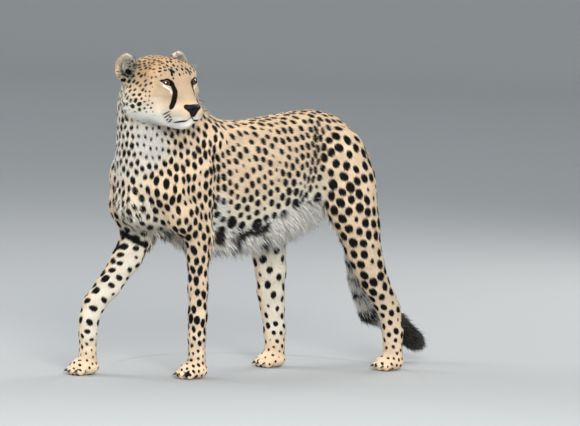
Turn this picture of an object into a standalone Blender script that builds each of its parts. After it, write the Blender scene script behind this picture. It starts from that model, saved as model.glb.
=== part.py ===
"""A standing cheetah, life size, looking back over its left shoulder.

The body faces -Y, its left side is +X, and it stands on z = 0.  The flesh is
laid down as rounded masses along the skeleton, joined into one skin with
filleted creases, and then parted by thin cuts where its parts are named.
"""

import math

import bmesh
import bpy
from mathutils import Euler, Matrix, Vector

# ---- driving dimensions, in metres -----------------------------------------
STAND_AT = Vector((-0.0403, -0.0894, 0.0))  # moves the feet's rectangle under the origin
VOXEL = 0.0065            # grid of the joined skin
FILLET = 0.011            # radius left in the creases where two masses meet
BODY_TRIANGLES = 4150
GAP = 0.0003              # between two parts that touch
FLOOR = 0.0               # the paws are cut flat here

# ---- trunk: how far back, top, bottom, half width ---------------------------
TRUNK = (
    (-0.385, 0.545, 0.440, 0.052),
    (-0.330, 0.620, 0.405, 0.078),
    (-0.220, 0.680, 0.378, 0.100),
    (-0.110, 0.708, 0.362, 0.105),
    (-0.010, 0.713, 0.358, 0.107),
    (0.090, 0.727, 0.372, 0.104),
    (0.180, 0.742, 0.410, 0.094),
    (0.255, 0.745, 0.462, 0.088),
    (0.330, 0.716, 0.520, 0.078),
    (0.380, 0.668, 0.560, 0.054),
)
WITHERS = ((0, -0.130, 0.645), (0.070, 0.110, 0.066))
BREAST = ((0, -0.325, 0.485), (0.078, 0.072, 0.085))
NECK_NAPE = (((-0.004, -0.210, 0.585), 0.114), ((0, -0.310, 0.785), 0.087))
NECK_CREST = (((0, -0.150, 0.635), 0.076), ((0, -0.262, 0.775), 0.068))
NECK_THROAT = (((-0.014, -0.296, 0.600), 0.109), ((-0.012, -0.320, 0.740), 0.086))
NECK_FLAT = 0.89
BELLY_FRINGE = (
    ((0, -0.215, 0.394), 0.030),
    ((0, -0.115, 0.384), 0.032),
    ((0, 0.005, 0.345), 0.034),
    ((0, 0.130, 0.358), 0.036),
    ((0, 0.215, 0.420), 0.031),
    ((0, 0.265, 0.486), 0.024),
)

# ---- limbs: (place, radius, how flat from side to side), from the trunk down
LIMBS = {
    "fore_left": (
        ((0.055, -0.150, 0.660), 0.045, 0.80),  # top of the shoulder blade
        ((0.072, -0.300, 0.530), 0.056, 0.85),  # point of the shoulder
        ((0.083, -0.250, 0.455), 0.052, 0.85),  # upper arm
        ((0.082, -0.195, 0.400), 0.039, 0.95),  # elbow
        ((0.080, -0.192, 0.345), 0.033, 0.95),
        ((0.079, -0.186, 0.250), 0.0285, 1.0),
        ((0.078, -0.183, 0.170), 0.0275, 1.0),  # wrist
        ((0.078, -0.183, 0.115), 0.0255, 1.0),
        ((0.078, -0.180, 0.048), 0.0260, 1.0),
    ),
    "fore_right": (
        ((-0.055, -0.165, 0.665), 0.045, 0.80),
        ((-0.072, -0.322, 0.552), 0.062, 0.85),
        ((-0.084, -0.312, 0.470), 0.063, 0.85),
        ((-0.084, -0.284, 0.390), 0.047, 0.95),
        ((-0.083, -0.320, 0.318), 0.042, 0.95),
        ((-0.082, -0.378, 0.243), 0.035, 1.0),
        ((-0.081, -0.424, 0.193), 0.031, 1.0),
        ((-0.080, -0.438, 0.150), 0.0280, 1.0),
        ((-0.079, -0.439, 0.110), 0.0255, 1.0),
        ((-0.078, -0.438, 0.048), 0.0260, 1.0),
    ),
    "hind_left": (
        ((0.062, 0.288, 0.606), 0.090, 0.62),  # hip
        ((0.070, 0.316, 0.535), 0.088, 0.62),
        ((0.080, 0.322, 0.479), 0.082, 0.64),  # thigh
        ((0.085, 0.348, 0.414), 0.066, 0.70),
        ((0.086, 0.365, 0.352), 0.056, 0.76),
        ((0.085, 0.390, 0.298), 0.048, 0.84),  # shank
        ((0.084, 0.414, 0.253), 0.041, 0.90),
        ((0.083, 0.448, 0.206), 0.036, 0.92),
        ((0.082, 0.471, 0.170), 0.034, 0.90),  # hock
        ((0.081, 0.487, 0.110), 0.031, 0.95),
        ((0.080, 0.492, 0.048), 0.0300, 1.0),
    ),
    "hind_right": (
        ((-0.062, 0.274, 0.604), 0.088, 0.62),
        ((-0.072, 0.225, 0.530), 0.078, 0.62),
        ((-0.080, 0.172, 0.465), 0.072, 0.66),
        ((-0.084, 0.152, 0.400), 0.062, 0.70),
        ((-0.083, 0.158, 0.330), 0.053, 0.78),
        ((-0.081, 0.167, 0.273), 0.0465, 0.86),
        ((-0.080, 0.169, 0.210), 0.040, 0.92),
        ((-0.080, 0.178, 0.166), 0.0355, 0.90),
        ((-0.078, 0.187, 0.104), 0.0325, 0.95),
        ((-0.077, 0.190, 0.048), 0.0300, 1.0),
    ),
}
TRICEPS = {  # behind each upper arm, from the shoulder blade to the elbow
    "left": (((0.070, -0.195, 0.570), 0.055), ((0.082, -0.186, 0.420), 0.028)),
    "right": (((-0.070, -0.215, 0.570), 0.055), ((-0.084, -0.262, 0.405), 0.030)),
}
PAW_AHEAD = 0.014                     # how far the toes' mass leads the limb's end
PAW_CENTRE = 0.022
PAW_HALF = (0.033, 0.045, 0.026)      # half width, half length, half height
TOES = 4
TOE_RADIUS = 0.0125
CLAW_LENGTH = 0.013
CLAW_RADIUS = 0.0030
CLAW_TILT = math.radians(14.0)
CLAW_DROP = 0.002

TAIL = (
    ((0, 0.350, 0.645), 0.038),
    ((-0.008, 0.412, 0.600), 0.033),
    ((-0.030, 0.438, 0.500), 0.027),
    ((-0.068, 0.424, 0.360), 0.025),
    ((-0.078, 0.462, 0.240), 0.026),
    ((-0.080, 0.512, 0.145), 0.028),
    ((-0.070, 0.602, 0.116), 0.034),
    ((-0.058, 0.660, 0.068), 0.032),
)

# ---- head, in its own frame: x left, y back, z up, nose towards -y ----------
HEAD_AT = Vector((0.0467, -0.3263, 0.8020))
HEAD_SIZE = 1.085                     # the lengths below are drawn this much larger
HEAD_TURN = Euler((math.radians(1.5), math.radians(-2.0), math.radians(96.0)))
CRANIUM = ((0, 0.012, 0.016), (0.077, 0.078, 0.068))
FOREHEAD = ((0, -0.037, 0.033), (0.064, 0.056, 0.050))
BROW = ((0.040, -0.052, 0.042), (0.028, 0.028, 0.023))
CHEEK = ((0.049, -0.006, -0.028), (0.045, 0.062, 0.049))
CHEEKBONE = ((0.049, -0.054, -0.004), (0.029, 0.034, 0.028))
LIP_PAD = ((0.021, -0.118, -0.052), (0.028, 0.031, 0.026))
CHIN = ((0, -0.106, -0.078), (0.025, 0.026, 0.017))
JAW = (((0.038, -0.020, -0.050), 0.033), ((0.016, -0.092, -0.072), 0.021))
NOSE_BRIDGE = (((0, -0.070, 0.008), 0.038), ((0, -0.128, -0.031), 0.024))
EYE_AT = (0.0400, -0.0775, 0.0215)
EYE_RADIUS = 0.0175
NOSE_AT = (0, -0.1450, -0.0380)
NOSE_HALF = (0.0195, 0.0120, 0.0140)
EAR_AT = (0.085, 0.024, 0.052)
EAR_HALF = (0.034, 0.015, 0.039)
EAR_LEAN = math.radians(28.0)
EAR_HOLLOW_AHEAD = 0.011
EAR_HOLLOW_HALF = (0.027, 0.0135, 0.031)

# ---- where the parts meet: boxes (low, high, cutting planes) -----------------
# A plane is a point on it and the direction that leaves the part.
NECK_CELL = ((-0.20, -0.50, 0.50), (0.20, -0.05, 0.95), (((0, -0.25, 0.660), (0, 0.43, -0.90)),))
CHEST_CELL = ((-0.20, -0.50, 0.20), (0.20, 0.20, 0.80), (((0, 0.060, 0.530), (0, 0.96, 0.28)),))
TAIL_CELL = (
    (-0.15, 0.386, 0.02),
    (0.06, 0.75, 0.70),
    (((0, 0.392, 0.612), (0.10, -0.68, 0.71)), ((0.045, 0.40, 0.620), (0.992, 0, -0.124))),
)
TAIL_JOINTS = (
    ("root", None, None),
    ("middle", (-0.034, 0.436, 0.485), (0.26, 0.10, 0.96)),
    ("lower", (-0.075, 0.449, 0.280), (0.08, -0.30, 0.95)),
    ("tuft", (-0.074, 0.556, 0.130), (-0.12, -0.92, 0.38)),
)
LIMB_CELLS = {
    "fore_left": (
        (0.03, -0.43, -0.05),
        (0.20, -0.125, 0.62),
        (((0, -0.14, 0.470), (0, 0.40, 0.916)), ((0.047, 0, 0.400), (-1, 0, 0.094))),
    ),
    "fore_right": (
        (-0.20, -0.52, -0.05),
        (-0.03, -0.175, 0.64),
        (((0, -0.19, 0.480), (0, 0.50, 0.87)), ((-0.047, 0, 0.400), (1, 0, 0.094))),
    ),
    "hind_left": (
        (0.02, 0.180, -0.05),
        (0.20, 0.62, 0.66),
        (((0, 0.18, 0.545), (0, -0.24, 0.97)), ((0.036, 0, 0.400), (-1, 0, 0.075))),
    ),
    "hind_right": (
        (-0.20, 0.02, -0.05),
        (-0.02, 0.62, 0.66),
        (
            ((0, 0.18, 0.545), (0, -0.24, 0.97)),
            ((-0.036, 0, 0.400), (1, 0, 0.075)),
            ((0, 0.075, 0.400), (0, -0.84, 0.54)),
        ),
    ),
}
LIMB_JOINTS = {
    "fore_left": (
        ("upper_arm", None, None),
        ("forearm", (0, -0.195, 0.385), (0, 0, 1)),
        ("paw", (0, -0.183, 0.150), (0, 0, 1)),
    ),
    "fore_right": (
        ("upper_arm", None, None),
        ("forearm", (0, -0.285, 0.372), (0, 0.65, 0.76)),
        ("paw", (0, -0.438, 0.140), (0, 0, 1)),
    ),
    "hind_left": (
        ("thigh", None, None),
        ("shank", (0, 0.352, 0.380), (0, -0.38, 0.92)),
        ("cannon", (0, 0.462, 0.185), (0, -0.35, 0.94)),
        ("paw", (0, 0.490, 0.070), (0, 0, 1)),
    ),
    "hind_right": (
        ("thigh", None, None),
        ("shank", (0, 0.155, 0.365), (0, 0, 1)),
        ("cannon", (0, 0.172, 0.185), (0, 0, 1)),
        ("paw", (0, 0.189, 0.070), (0, 0, 1)),
    ),
}

TAN = (0.62, 0.42, 0.23)
CREAM = (0.80, 0.74, 0.62)
DARK = (0.03, 0.024, 0.02)
AMBER = (0.35, 0.15, 0.03)
FINISHES = {  # (colour, roughness); every other part is TAN fur
    "eye_left": (AMBER, 0.15),
    "eye_right": (AMBER, 0.15),
    "nose": (DARK, 0.40),
    "tail_tuft": (DARK, 0.80),
    "ear_left": (CREAM, 0.80),
    "ear_right": (CREAM, 0.80),
}


# ---- laying down masses ------------------------------------------------------
def material(name, colour, roughness=0.75, metallic=0.0):
    made = bpy.data.materials.new(name)
    made.use_nodes = True
    shader = made.node_tree.nodes["Principled BSDF"]
    shader.inputs["Base Color"].default_value = (*colour, 1.0)
    shader.inputs["Roughness"].default_value = roughness
    shader.inputs["Metallic"].default_value = metallic
    made.diffuse_color = (*colour, 1.0)
    return made


def object_from(name, bm):
    mesh = bpy.data.meshes.new(name)
    bmesh.ops.recalc_face_normals(bm, faces=bm.faces)
    bm.to_mesh(mesh)
    bm.free()
    made = bpy.data.objects.new(name, mesh)
    bpy.context.scene.collection.objects.link(made)
    return made


def egg(bm, centre, half, frame=None, detail=3):
    """An ellipsoid of these half sizes."""
    place = (frame or Matrix()) @ Matrix.Translation(centre) @ Matrix.Diagonal((*half, 1.0))
    bmesh.ops.create_icosphere(bm, subdivisions=detail, radius=1.0, matrix=place)


def limb_stretch(bm, start, end, frame=None):
    """A tapered round-ended bar between two (place, radius, flatness) ends."""
    bar = bmesh.new()
    for place, radius, flat in (start, end):
        matrix = Matrix.Translation(place) @ Matrix.Diagonal((flat, 1.0, 1.0, 1.0))
        bmesh.ops.create_icosphere(bar, subdivisions=2, radius=radius, matrix=matrix)
    bmesh.ops.delete(bar, geom=bar.edges[:], context="EDGES_FACES")
    bmesh.ops.convex_hull(bar, input=bar.verts[:])
    loose = [vert for vert in bar.verts if not vert.link_faces]
    bmesh.ops.delete(bar, geom=loose, context="VERTS")
    bar.transform(frame or Matrix())
    mesh = bpy.data.meshes.new("bar")
    bar.to_mesh(mesh)
    bar.free()
    bm.from_mesh(mesh)
    bpy.data.meshes.remove(mesh)


def chain(bm, stations, frame=None):
    for start, end in zip(stations, stations[1:]):
        limb_stretch(bm, start, end, frame)


def with_flat(stations, flat=1.0):
    return [(place, radius, flat) for place, radius in stations]


def mirrored(point, side):
    return (side * point[0], point[1], point[2])


def smooth_between(stations, back):
    """The stations' sizes at one distance back, on a smooth curve through them."""
    index = max(i for i, row in enumerate(stations) if row[0] <= back or i == 0)
    index = min(index, len(stations) - 2)
    rows = [stations[min(max(index + k, 0), len(stations) - 1)] for k in (-1, 0, 1, 2)]
    share = (back - rows[1][0]) / (rows[2][0] - rows[1][0])
    return [
        rows[1][i]
        + 0.5 * share * (rows[2][i] - rows[0][i] + share * (
            2 * rows[0][i] - 5 * rows[1][i] + 4 * rows[2][i] - rows[3][i]
            + share * (3 * (rows[1][i] - rows[2][i]) + rows[3][i] - rows[0][i])))
        for i in (1, 2, 3)
    ]


def barrel(bm, stations, rings=24, sides=28):
    """The trunk: upright oval rings bridged from chest to rump."""
    first, last = stations[0][0], stations[-1][0]
    edges, ends = [], []
    for i in range(rings):
        back = first + (last - first) * i / (rings - 1)
        top, bottom, half = smooth_between(stations, back)
        matrix = (
            Matrix.Translation((0, back, (top + bottom) / 2))
            @ Matrix.Diagonal((half, 1.0, (top - bottom) / 2, 1.0))
            @ Matrix.Rotation(math.pi / 2, 4, "X")
        )
        ring = bmesh.ops.create_circle(bm, segments=sides, radius=1.0, matrix=matrix)["verts"]
        edges += list({edge for vert in ring for edge in vert.link_edges})
        if i in (0, rings - 1):
            ends.append(ring)
    bmesh.ops.bridge_loops(bm, edges=edges)
    for ring in ends:
        bmesh.ops.contextual_create(bm, geom=ring)


def lay_trunk_and_neck(bm):
    barrel(bm, TRUNK)
    egg(bm, *WITHERS)
    egg(bm, *BREAST)
    chain(bm, with_flat(NECK_NAPE, NECK_FLAT))
    chain(bm, with_flat(NECK_THROAT, NECK_FLAT))
    chain(bm, with_flat(NECK_CREST, NECK_FLAT))
    chain(bm, with_flat(BELLY_FRINGE))
    for stations in TRICEPS.values():
        chain(bm, with_flat(stations, 0.8))


def paw_at(limb):
    place = LIMBS[limb][-1][0]
    return Vector((place[0], place[1] - PAW_AHEAD, 0.0))


def lay_limb(bm, limb):
    """One limb with its paw: a pad and a row of toes ahead of it."""
    chain(bm, LIMBS[limb])
    paw = paw_at(limb)
    egg(bm, paw + Vector((0, 0, PAW_CENTRE)), PAW_HALF)
    for toe in toe_places(paw):
        egg(bm, toe, (TOE_RADIUS, TOE_RADIUS * 1.5, TOE_RADIUS * 1.1), detail=2)


def toe_places(paw):
    """The toes stand on an arc across the front of the paw."""
    width, length, _ = PAW_HALF
    for i in range(TOES):
        across = (i - (TOES - 1) / 2) / ((TOES - 1) / 2)
        yield paw + Vector((
            across * (width - TOE_RADIUS * 0.6),
            -length * 0.86 + 0.012 * across * across,
            TOE_RADIUS * 0.95,
        ))


def head_frame():
    return Matrix.Translation(HEAD_AT) @ HEAD_TURN.to_matrix().to_4x4() @ Matrix.Scale(HEAD_SIZE, 4)


def lay_head(bm):
    frame = head_frame()
    for centre, half in (CRANIUM, FOREHEAD, CHIN):
        egg(bm, centre, half, frame)
    chain(bm, with_flat(NOSE_BRIDGE), frame)
    for side in (1, -1):
        for centre, half in (BROW, CHEEK, CHEEKBONE, LIP_PAD):
            egg(bm, mirrored(centre, side), half, frame)
        chain(bm, [(mirrored(place, side), radius, 1.0) for place, radius in JAW], frame)


# ---- one joined skin ---------------------------------------------------------
def add_remesh(body, voxel):
    step = body.modifiers.new("join", "REMESH")
    step.mode = "VOXEL"
    step.voxel_size = voxel


def add_offset(body, distance):
    step = body.modifiers.new("offset", "DISPLACE")
    step.direction = "NORMAL"
    step.mid_level = 0.0
    step.strength = distance


def applied(body):
    """The same object with its modifiers applied."""
    graph = bpy.context.evaluated_depsgraph_get()
    bpy.context.view_layer.update()
    mesh = bpy.data.meshes.new_from_object(body.evaluated_get(graph))
    body.modifiers.clear()
    old, body.data = body.data, mesh
    bpy.data.meshes.remove(old)
    return body


def joined_body():
    """All the flesh in one closed mesh, its creases filled to FILLET."""
    bm = bmesh.new()
    lay_trunk_and_neck(bm)
    for limb in LIMBS:
        lay_limb(bm, limb)
    chain(bm, with_flat(TAIL))
    lay_head(bm)
    body = object_from("body", bm)
    add_remesh(body, VOXEL)
    add_offset(body, FILLET)
    add_remesh(body, VOXEL)
    add_offset(body, -FILLET)
    add_remesh(body, VOXEL)
    smooth = body.modifiers.new("ease", "SMOOTH")
    smooth.factor = 0.5
    smooth.iterations = 4
    applied(body)
    triangulate = body.modifiers.new("triangles", "TRIANGULATE")
    triangulate.min_vertices = 4
    applied(body)
    thin = body.modifiers.new("thin", "DECIMATE")
    thin.ratio = BODY_TRIANGLES / len(body.data.polygons)
    return applied(body)


# ---- parting the body --------------------------------------------------------
def cell(low, high, planes=(), grow=0.0, frame=None):
    """A box cut by planes (point, outward normal), every face moved out by grow."""
    bm = bmesh.new()
    low = Vector(low) - Vector((grow,) * 3)
    high = Vector(high) + Vector((grow,) * 3)
    place = Matrix.Translation((low + high) / 2) @ Matrix.Diagonal((*(high - low), 1.0))
    bmesh.ops.create_cube(bm, size=1.0, matrix=place)
    for point, normal in planes:
        normal = Vector(normal).normalized()
        cut = bmesh.ops.bisect_plane(
            bm,
            geom=bm.verts[:] + bm.edges[:] + bm.faces[:],
            plane_co=Vector(point) + normal * grow,
            plane_no=normal,
            clear_outer=True,
        )
        rim = [g for g in cut["geom_cut"] if isinstance(g, bmesh.types.BMEdge)]
        bmesh.ops.contextual_create(bm, geom=rim)
    if frame:
        bm.transform(frame)
    cutter = object_from("cutter", bm)
    cutter.hide_render = True
    cutter.display_type = "WIRE"
    return cutter


def cut(target, cutter, operation):
    step = target.modifiers.new("cut", "BOOLEAN")
    step.operation = operation
    step.solver = "EXACT"
    step.object = cutter
    applied(target)
    bpy.data.objects.remove(cutter, do_unlink=True)


def part_off(whole, name, low, high, planes=(), frame=None):
    """What of the whole lies in the cell becomes a part of its own."""
    piece = whole.copy()
    piece.data = whole.data.copy()
    piece.name = name
    bpy.context.scene.collection.objects.link(piece)
    cut(piece, cell(low, high, planes, -GAP / 2, frame), "INTERSECT")
    cut(whole, cell(low, high, planes, GAP / 2, frame), "DIFFERENCE")
    return piece


def flatten_soles(body):
    """A clean cut at the floor leaves one small flat under each paw."""
    cut(body, cell((-1, -1, FLOOR), (1, 1, 2)), "INTERSECT")


def ear_mesh(side, frame):
    """A round-tipped ear, hollowed from the front."""
    lean = Matrix.Translation(mirrored(EAR_AT, side)) @ Matrix.Rotation(side * EAR_LEAN, 4, "Y")
    shell = bmesh.new()
    egg(shell, (0, 0, 0), EAR_HALF, frame @ lean, detail=2)
    ear = object_from("ear", shell)
    hollow = bmesh.new()
    egg(hollow, (0, -EAR_HOLLOW_AHEAD, 0.002), EAR_HOLLOW_HALF, frame @ lean, detail=2)
    cut(ear, object_from("hollow", hollow), "DIFFERENCE")
    return ear


def part_head(body, pieces):
    frame = head_frame()
    for side in (1, -1):
        cut(body, ear_mesh(side, frame), "UNION")
    for side, word in ((1, "left"), (-1, "right")):
        base = mirrored((0.070, 0.024, 0.040), side)
        low = (min(side * 0.040, side * 0.14), -0.010, 0.028)
        high = (max(side * 0.040, side * 0.14), 0.060, 0.130)
        planes = ((base, (-side * 0.47, 0, -0.88)),)
        pieces.append(part_off(body, "ear_" + word, low, high, planes, frame))
    behind = ((0, 0.040, -0.052), (0, 0.72, -0.69))
    head = part_off(body, "head", (-0.12, -0.17, -0.11), (0.12, 0.11, 0.12), (behind,), frame)
    for side, word in ((1, "left"), (-1, "right")):
        eye, socket = bmesh.new(), bmesh.new()
        egg(eye, mirrored(EYE_AT, side), (EYE_RADIUS,) * 3, frame, detail=2)
        egg(socket, mirrored(EYE_AT, side), (EYE_RADIUS + GAP,) * 3, frame, detail=2)
        cut(head, object_from("socket", socket), "DIFFERENCE")
        pieces.append(object_from("eye_" + word, eye))
    nose, bed = bmesh.new(), bmesh.new()
    egg(nose, NOSE_AT, NOSE_HALF, frame, detail=2)
    egg(bed, NOSE_AT, [half + GAP for half in NOSE_HALF], frame, detail=2)
    cut(head, object_from("bed", bed), "DIFFERENCE")
    pieces.append(object_from("nose", nose))
    pieces.append(head)


def add_claws(paw_piece, limb):
    """Each toe carries one short claw, its root inside the toe."""
    for toe in toe_places(paw_at(limb)):
        bm = bmesh.new()
        place = (
            Matrix.Translation(toe + Vector((0, -TOE_RADIUS * 1.25, CLAW_DROP / 2)))
            @ Matrix.Rotation(math.pi / 2 + CLAW_TILT, 4, "X")
        )
        bmesh.ops.create_cone(
            bm,
            cap_ends=True,
            segments=6,
            radius1=CLAW_RADIUS,
            radius2=CLAW_RADIUS * 0.2,
            depth=CLAW_LENGTH,
            matrix=place,
        )
        cut(paw_piece, object_from("claw", bm), "UNION")


def part_limb(body, pieces, limb, bounds, joints):
    """Cuts the limb free of the trunk, then across at each of its joints."""
    low, high, planes = bounds
    rest = part_off(body, limb, low, high, planes)
    for name, point, towards_trunk in reversed(joints[1:]):
        piece = part_off(rest, limb + "_" + name, (-1, -1, -1), (1, 1, 1), ((point, towards_trunk),))
        if name == "paw":
            add_claws(piece, limb)
        pieces.append(piece)
    rest.name = limb + "_" + joints[0][0]
    pieces.append(rest)


def finish_piece(piece):
    """Its material, its smooth shading and its place over the origin."""
    colour, roughness = FINISHES.get(piece.name, (TAN, 0.8))
    piece.data.materials.clear()
    piece.data.materials.append(material(piece.name, colour, roughness))
    piece.data.shade_smooth()
    piece.data.set_sharp_from_angle(angle=math.radians(40))
    piece.location = STAND_AT


def main():
    for item in list(bpy.data.objects):
        bpy.data.objects.remove(item, do_unlink=True)
    body = joined_body()
    flatten_soles(body)
    pieces = []
    part_head(body, pieces)
    pieces.append(part_off(body, "neck", *NECK_CELL))
    part_limb(body, pieces, "tail", TAIL_CELL, TAIL_JOINTS)
    for limb in LIMBS:
        part_limb(body, pieces, limb, LIMB_CELLS[limb], LIMB_JOINTS[limb])
    pieces.append(part_off(body, "chest", *CHEST_CELL))
    body.name = "loins"
    pieces.append(body)
    for piece in pieces:
        finish_piece(piece)


main()
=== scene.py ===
"""A life-size standing cheetah: one skin, its coat in tufts, eyes, nose, claws and whiskers.

The body faces -Y and stands on z = 0.  The flesh is a set of rounded masses whose
distances are blended into one surface, and every marking is worked out at a place on it.
"""

import math

import bmesh
import bpy
import numpy as np
import openvdb
from mathutils import Euler, Matrix, Vector


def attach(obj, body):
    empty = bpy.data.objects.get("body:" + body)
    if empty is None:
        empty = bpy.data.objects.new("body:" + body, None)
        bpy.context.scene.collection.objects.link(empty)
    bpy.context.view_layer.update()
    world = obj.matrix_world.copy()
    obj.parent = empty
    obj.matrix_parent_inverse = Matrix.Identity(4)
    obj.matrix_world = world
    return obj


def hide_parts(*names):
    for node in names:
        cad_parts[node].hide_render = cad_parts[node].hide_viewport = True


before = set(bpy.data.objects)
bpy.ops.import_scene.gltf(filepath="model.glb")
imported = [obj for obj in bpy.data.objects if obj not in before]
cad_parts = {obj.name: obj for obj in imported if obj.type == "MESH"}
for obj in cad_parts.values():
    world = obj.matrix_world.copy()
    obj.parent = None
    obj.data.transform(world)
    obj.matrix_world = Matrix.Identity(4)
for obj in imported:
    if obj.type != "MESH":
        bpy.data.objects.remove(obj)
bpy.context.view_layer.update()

# ---------------------------------------------------------------------------
# The studio: a pale floor and back sheet in one smooth curve, a large soft
# light above and to the left, and a weak fill from the other side.
# ---------------------------------------------------------------------------
STAND_AT = np.array((-0.0403, -0.0894, 0.0))
LOOK_AT = Vector((*STAND_AT[:2], 0.40))
CAMERA_TURN, CAMERA_RISE, CAMERA_ROLL = math.radians(55), math.radians(5), math.radians(2.5)
CAMERA_FAR, LENS = 12.0, 266.0
FRAMING = (0.140, 0.0487)          # how far the view slides right and up, in metres

back = Vector((
    math.sin(CAMERA_TURN) * math.cos(CAMERA_RISE),
    -math.cos(CAMERA_TURN) * math.cos(CAMERA_RISE),
    math.sin(CAMERA_RISE),
))
level = Vector((math.cos(CAMERA_TURN), math.sin(CAMERA_TURN), 0))
upright = back.cross(level)
right = level * math.cos(CAMERA_ROLL) + upright * math.sin(CAMERA_ROLL)
above = upright * math.cos(CAMERA_ROLL) - level * math.sin(CAMERA_ROLL)
seen_from = LOOK_AT + FRAMING[0] * right + FRAMING[1] * above + CAMERA_FAR * back
camera = bpy.data.objects.new("camera", bpy.data.cameras.new("camera"))
camera.data.lens = LENS
camera.data.clip_end = 60.0
camera_turn = Matrix((right, above, back)).transposed()
camera.matrix_world = Matrix.Translation(seen_from) @ camera_turn.to_4x4()
bpy.context.scene.collection.objects.link(camera)
bpy.context.scene.camera = camera


def shader_of(name, colour, roughness, **settings):
    """A material with one Principled shader, its constants on the shader's own sockets."""
    made = bpy.data.materials.new(name)
    made.use_nodes = True
    shader = made.node_tree.nodes["Principled BSDF"]
    shader.inputs["Base Color"].default_value = (*colour, 1.0)
    shader.inputs["Roughness"].default_value = roughness
    for socket, value in settings.items():
        shader.inputs[socket.replace("_", " ")].default_value = value
    return made, shader


def grained(material, shader, scale, bump, rough, depth=0.0004):
    """Fine noise in the object's own space: it varies the roughness and raises the surface."""
    nodes, links = material.node_tree.nodes, material.node_tree.links
    where, noise = nodes.new("ShaderNodeTexCoord"), nodes.new("ShaderNodeTexNoise")
    noise.inputs["Scale"].default_value, noise.inputs["Detail"].default_value = scale, 3.0
    spread, raised = nodes.new("ShaderNodeMapRange"), nodes.new("ShaderNodeBump")
    spread.inputs["To Min"].default_value, spread.inputs["To Max"].default_value = rough
    raised.inputs["Strength"].default_value, raised.inputs["Distance"].default_value = bump, depth
    links.new(where.outputs["Object"], noise.inputs["Vector"])
    links.new(noise.outputs["Fac"], spread.inputs["Value"])
    links.new(noise.outputs["Fac"], raised.inputs["Height"])
    links.new(spread.outputs["Result"], shader.inputs["Roughness"])
    links.new(raised.outputs["Normal"], shader.inputs["Normal"])


def stored(material, name):
    """A node that reads the value of this name kept at the mesh's points."""
    node = material.node_tree.nodes.new("ShaderNodeAttribute")
    node.attribute_name = name
    return node


def mesh_piece(name, points, faces, material, smooth=True, place=STAND_AT):
    """A new object at the origin from points (natural frame) and same-sized faces."""
    points = np.asarray(points, np.float32) + np.asarray(place, np.float32)
    faces = np.asarray(faces, np.int32)
    mesh = bpy.data.meshes.new(name)
    mesh.vertices.add(len(points))
    mesh.vertices.foreach_set("co", points.ravel())
    mesh.loops.add(faces.size)
    mesh.loops.foreach_set("vertex_index", faces.ravel())
    mesh.polygons.add(len(faces))
    mesh.polygons.foreach_set("loop_start", np.arange(0, faces.size, faces.shape[1], dtype=np.int32))
    mesh.update(calc_edges=True)
    mesh.polygons.foreach_set("use_smooth", np.full(len(faces), smooth))
    mesh.materials.append(material)
    made = bpy.data.objects.new(name, mesh)
    bpy.context.scene.collection.objects.link(made)
    return made


def area_light(name, place, size, power, tint):
    """A soft panel light at a place, turned to face the middle of the animal."""
    data = bpy.data.lights.new(name, "AREA")
    data.shape, data.size, data.energy, data.color = "DISK", size, power, tint
    light = bpy.data.objects.new(name, data)
    aim = Vector((0, 0, 0.45)) - Vector(place)
    light.matrix_world = Matrix.Translation(place) @ aim.to_track_quat("-Z", "Y").to_matrix().to_4x4()
    bpy.context.scene.collection.objects.link(light)


FLOOR_RADIUS, WALL_RISE, WALL_STARTS, WALL_PULL = 22.0, 12.0, 0.66, 0.12
BOWL_RINGS, BOWL_SIDES = 40, 96
paper, paper_shader = shader_of("studio_paper", (0.42, 0.43, 0.43), 0.9)
grained(paper, paper_shader, 30.0, 0.05, (0.80, 0.95))


def grid_faces(rows, columns, closed=False):
    """Quads between neighbouring rows of points; closed joins the last column to the first."""
    index = np.arange(rows * columns).reshape(rows, columns)
    if closed:
        index = np.concatenate([index, index[:, :1]], 1)
    corners = [index[:-1, :-1], index[:-1, 1:], index[1:, 1:], index[1:, :-1]]
    return np.stack(corners, -1).reshape(-1, 4)


def bowl_points():
    """A flat disc that turns up smoothly into a wall.  With p the share of the way past
    WALL_STARTS, a ring is WALL_RISE p^2.2 high and drawn in by WALL_PULL p^2."""
    out = np.linspace(0.02, 1.0, BOWL_RINGS)[:, None]
    angle = np.linspace(0, 2 * math.pi, BOWL_SIDES, endpoint=False)[None, :]
    past = np.maximum((out - WALL_STARTS) / (1 - WALL_STARTS), 0)
    flat = FLOOR_RADIUS * (out - WALL_PULL * past**2)
    rise = WALL_RISE * past**2.2 + 0 * angle
    return np.stack([flat * np.cos(angle), flat * np.sin(angle), rise], -1).reshape(-1, 3)


bowl_faces = grid_faces(BOWL_RINGS, BOWL_SIDES, True)
studio_floor = mesh_piece("studio_floor", bowl_points(), bowl_faces, paper, True, (0, 0, 0))
middle_corners = [(-1, -1, 0), (1, -1, 0), (1, 1, 0), (-1, 1, 0)]
studio_middle = mesh_piece(
    "studio_middle", middle_corners, [(0, 1, 2, 3)], paper, False, (0, 0, -0.0004))
area_light("key_light", (3.9, -1.9, 2.2), 2.0, 208.0, (1.0, 0.97, 0.93))
area_light("fill_light", (-2.6, -3.4, 2.0), 3.2, 130.0, (0.93, 0.96, 1.0))
area_light("back_light", (-1.0, 3.6, 2.8), 3.0, 90.0, (1.0, 0.98, 0.95))
world = bpy.data.worlds.new("studio_air")
world.use_nodes = True
world.node_tree.nodes["Background"].inputs["Color"].default_value = (0.86, 0.90, 0.95, 1.0)
world.node_tree.nodes["Background"].inputs["Strength"].default_value = 0.90
bpy.context.scene.world = world
bpy.context.scene.view_settings.view_transform = "Standard"

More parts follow.
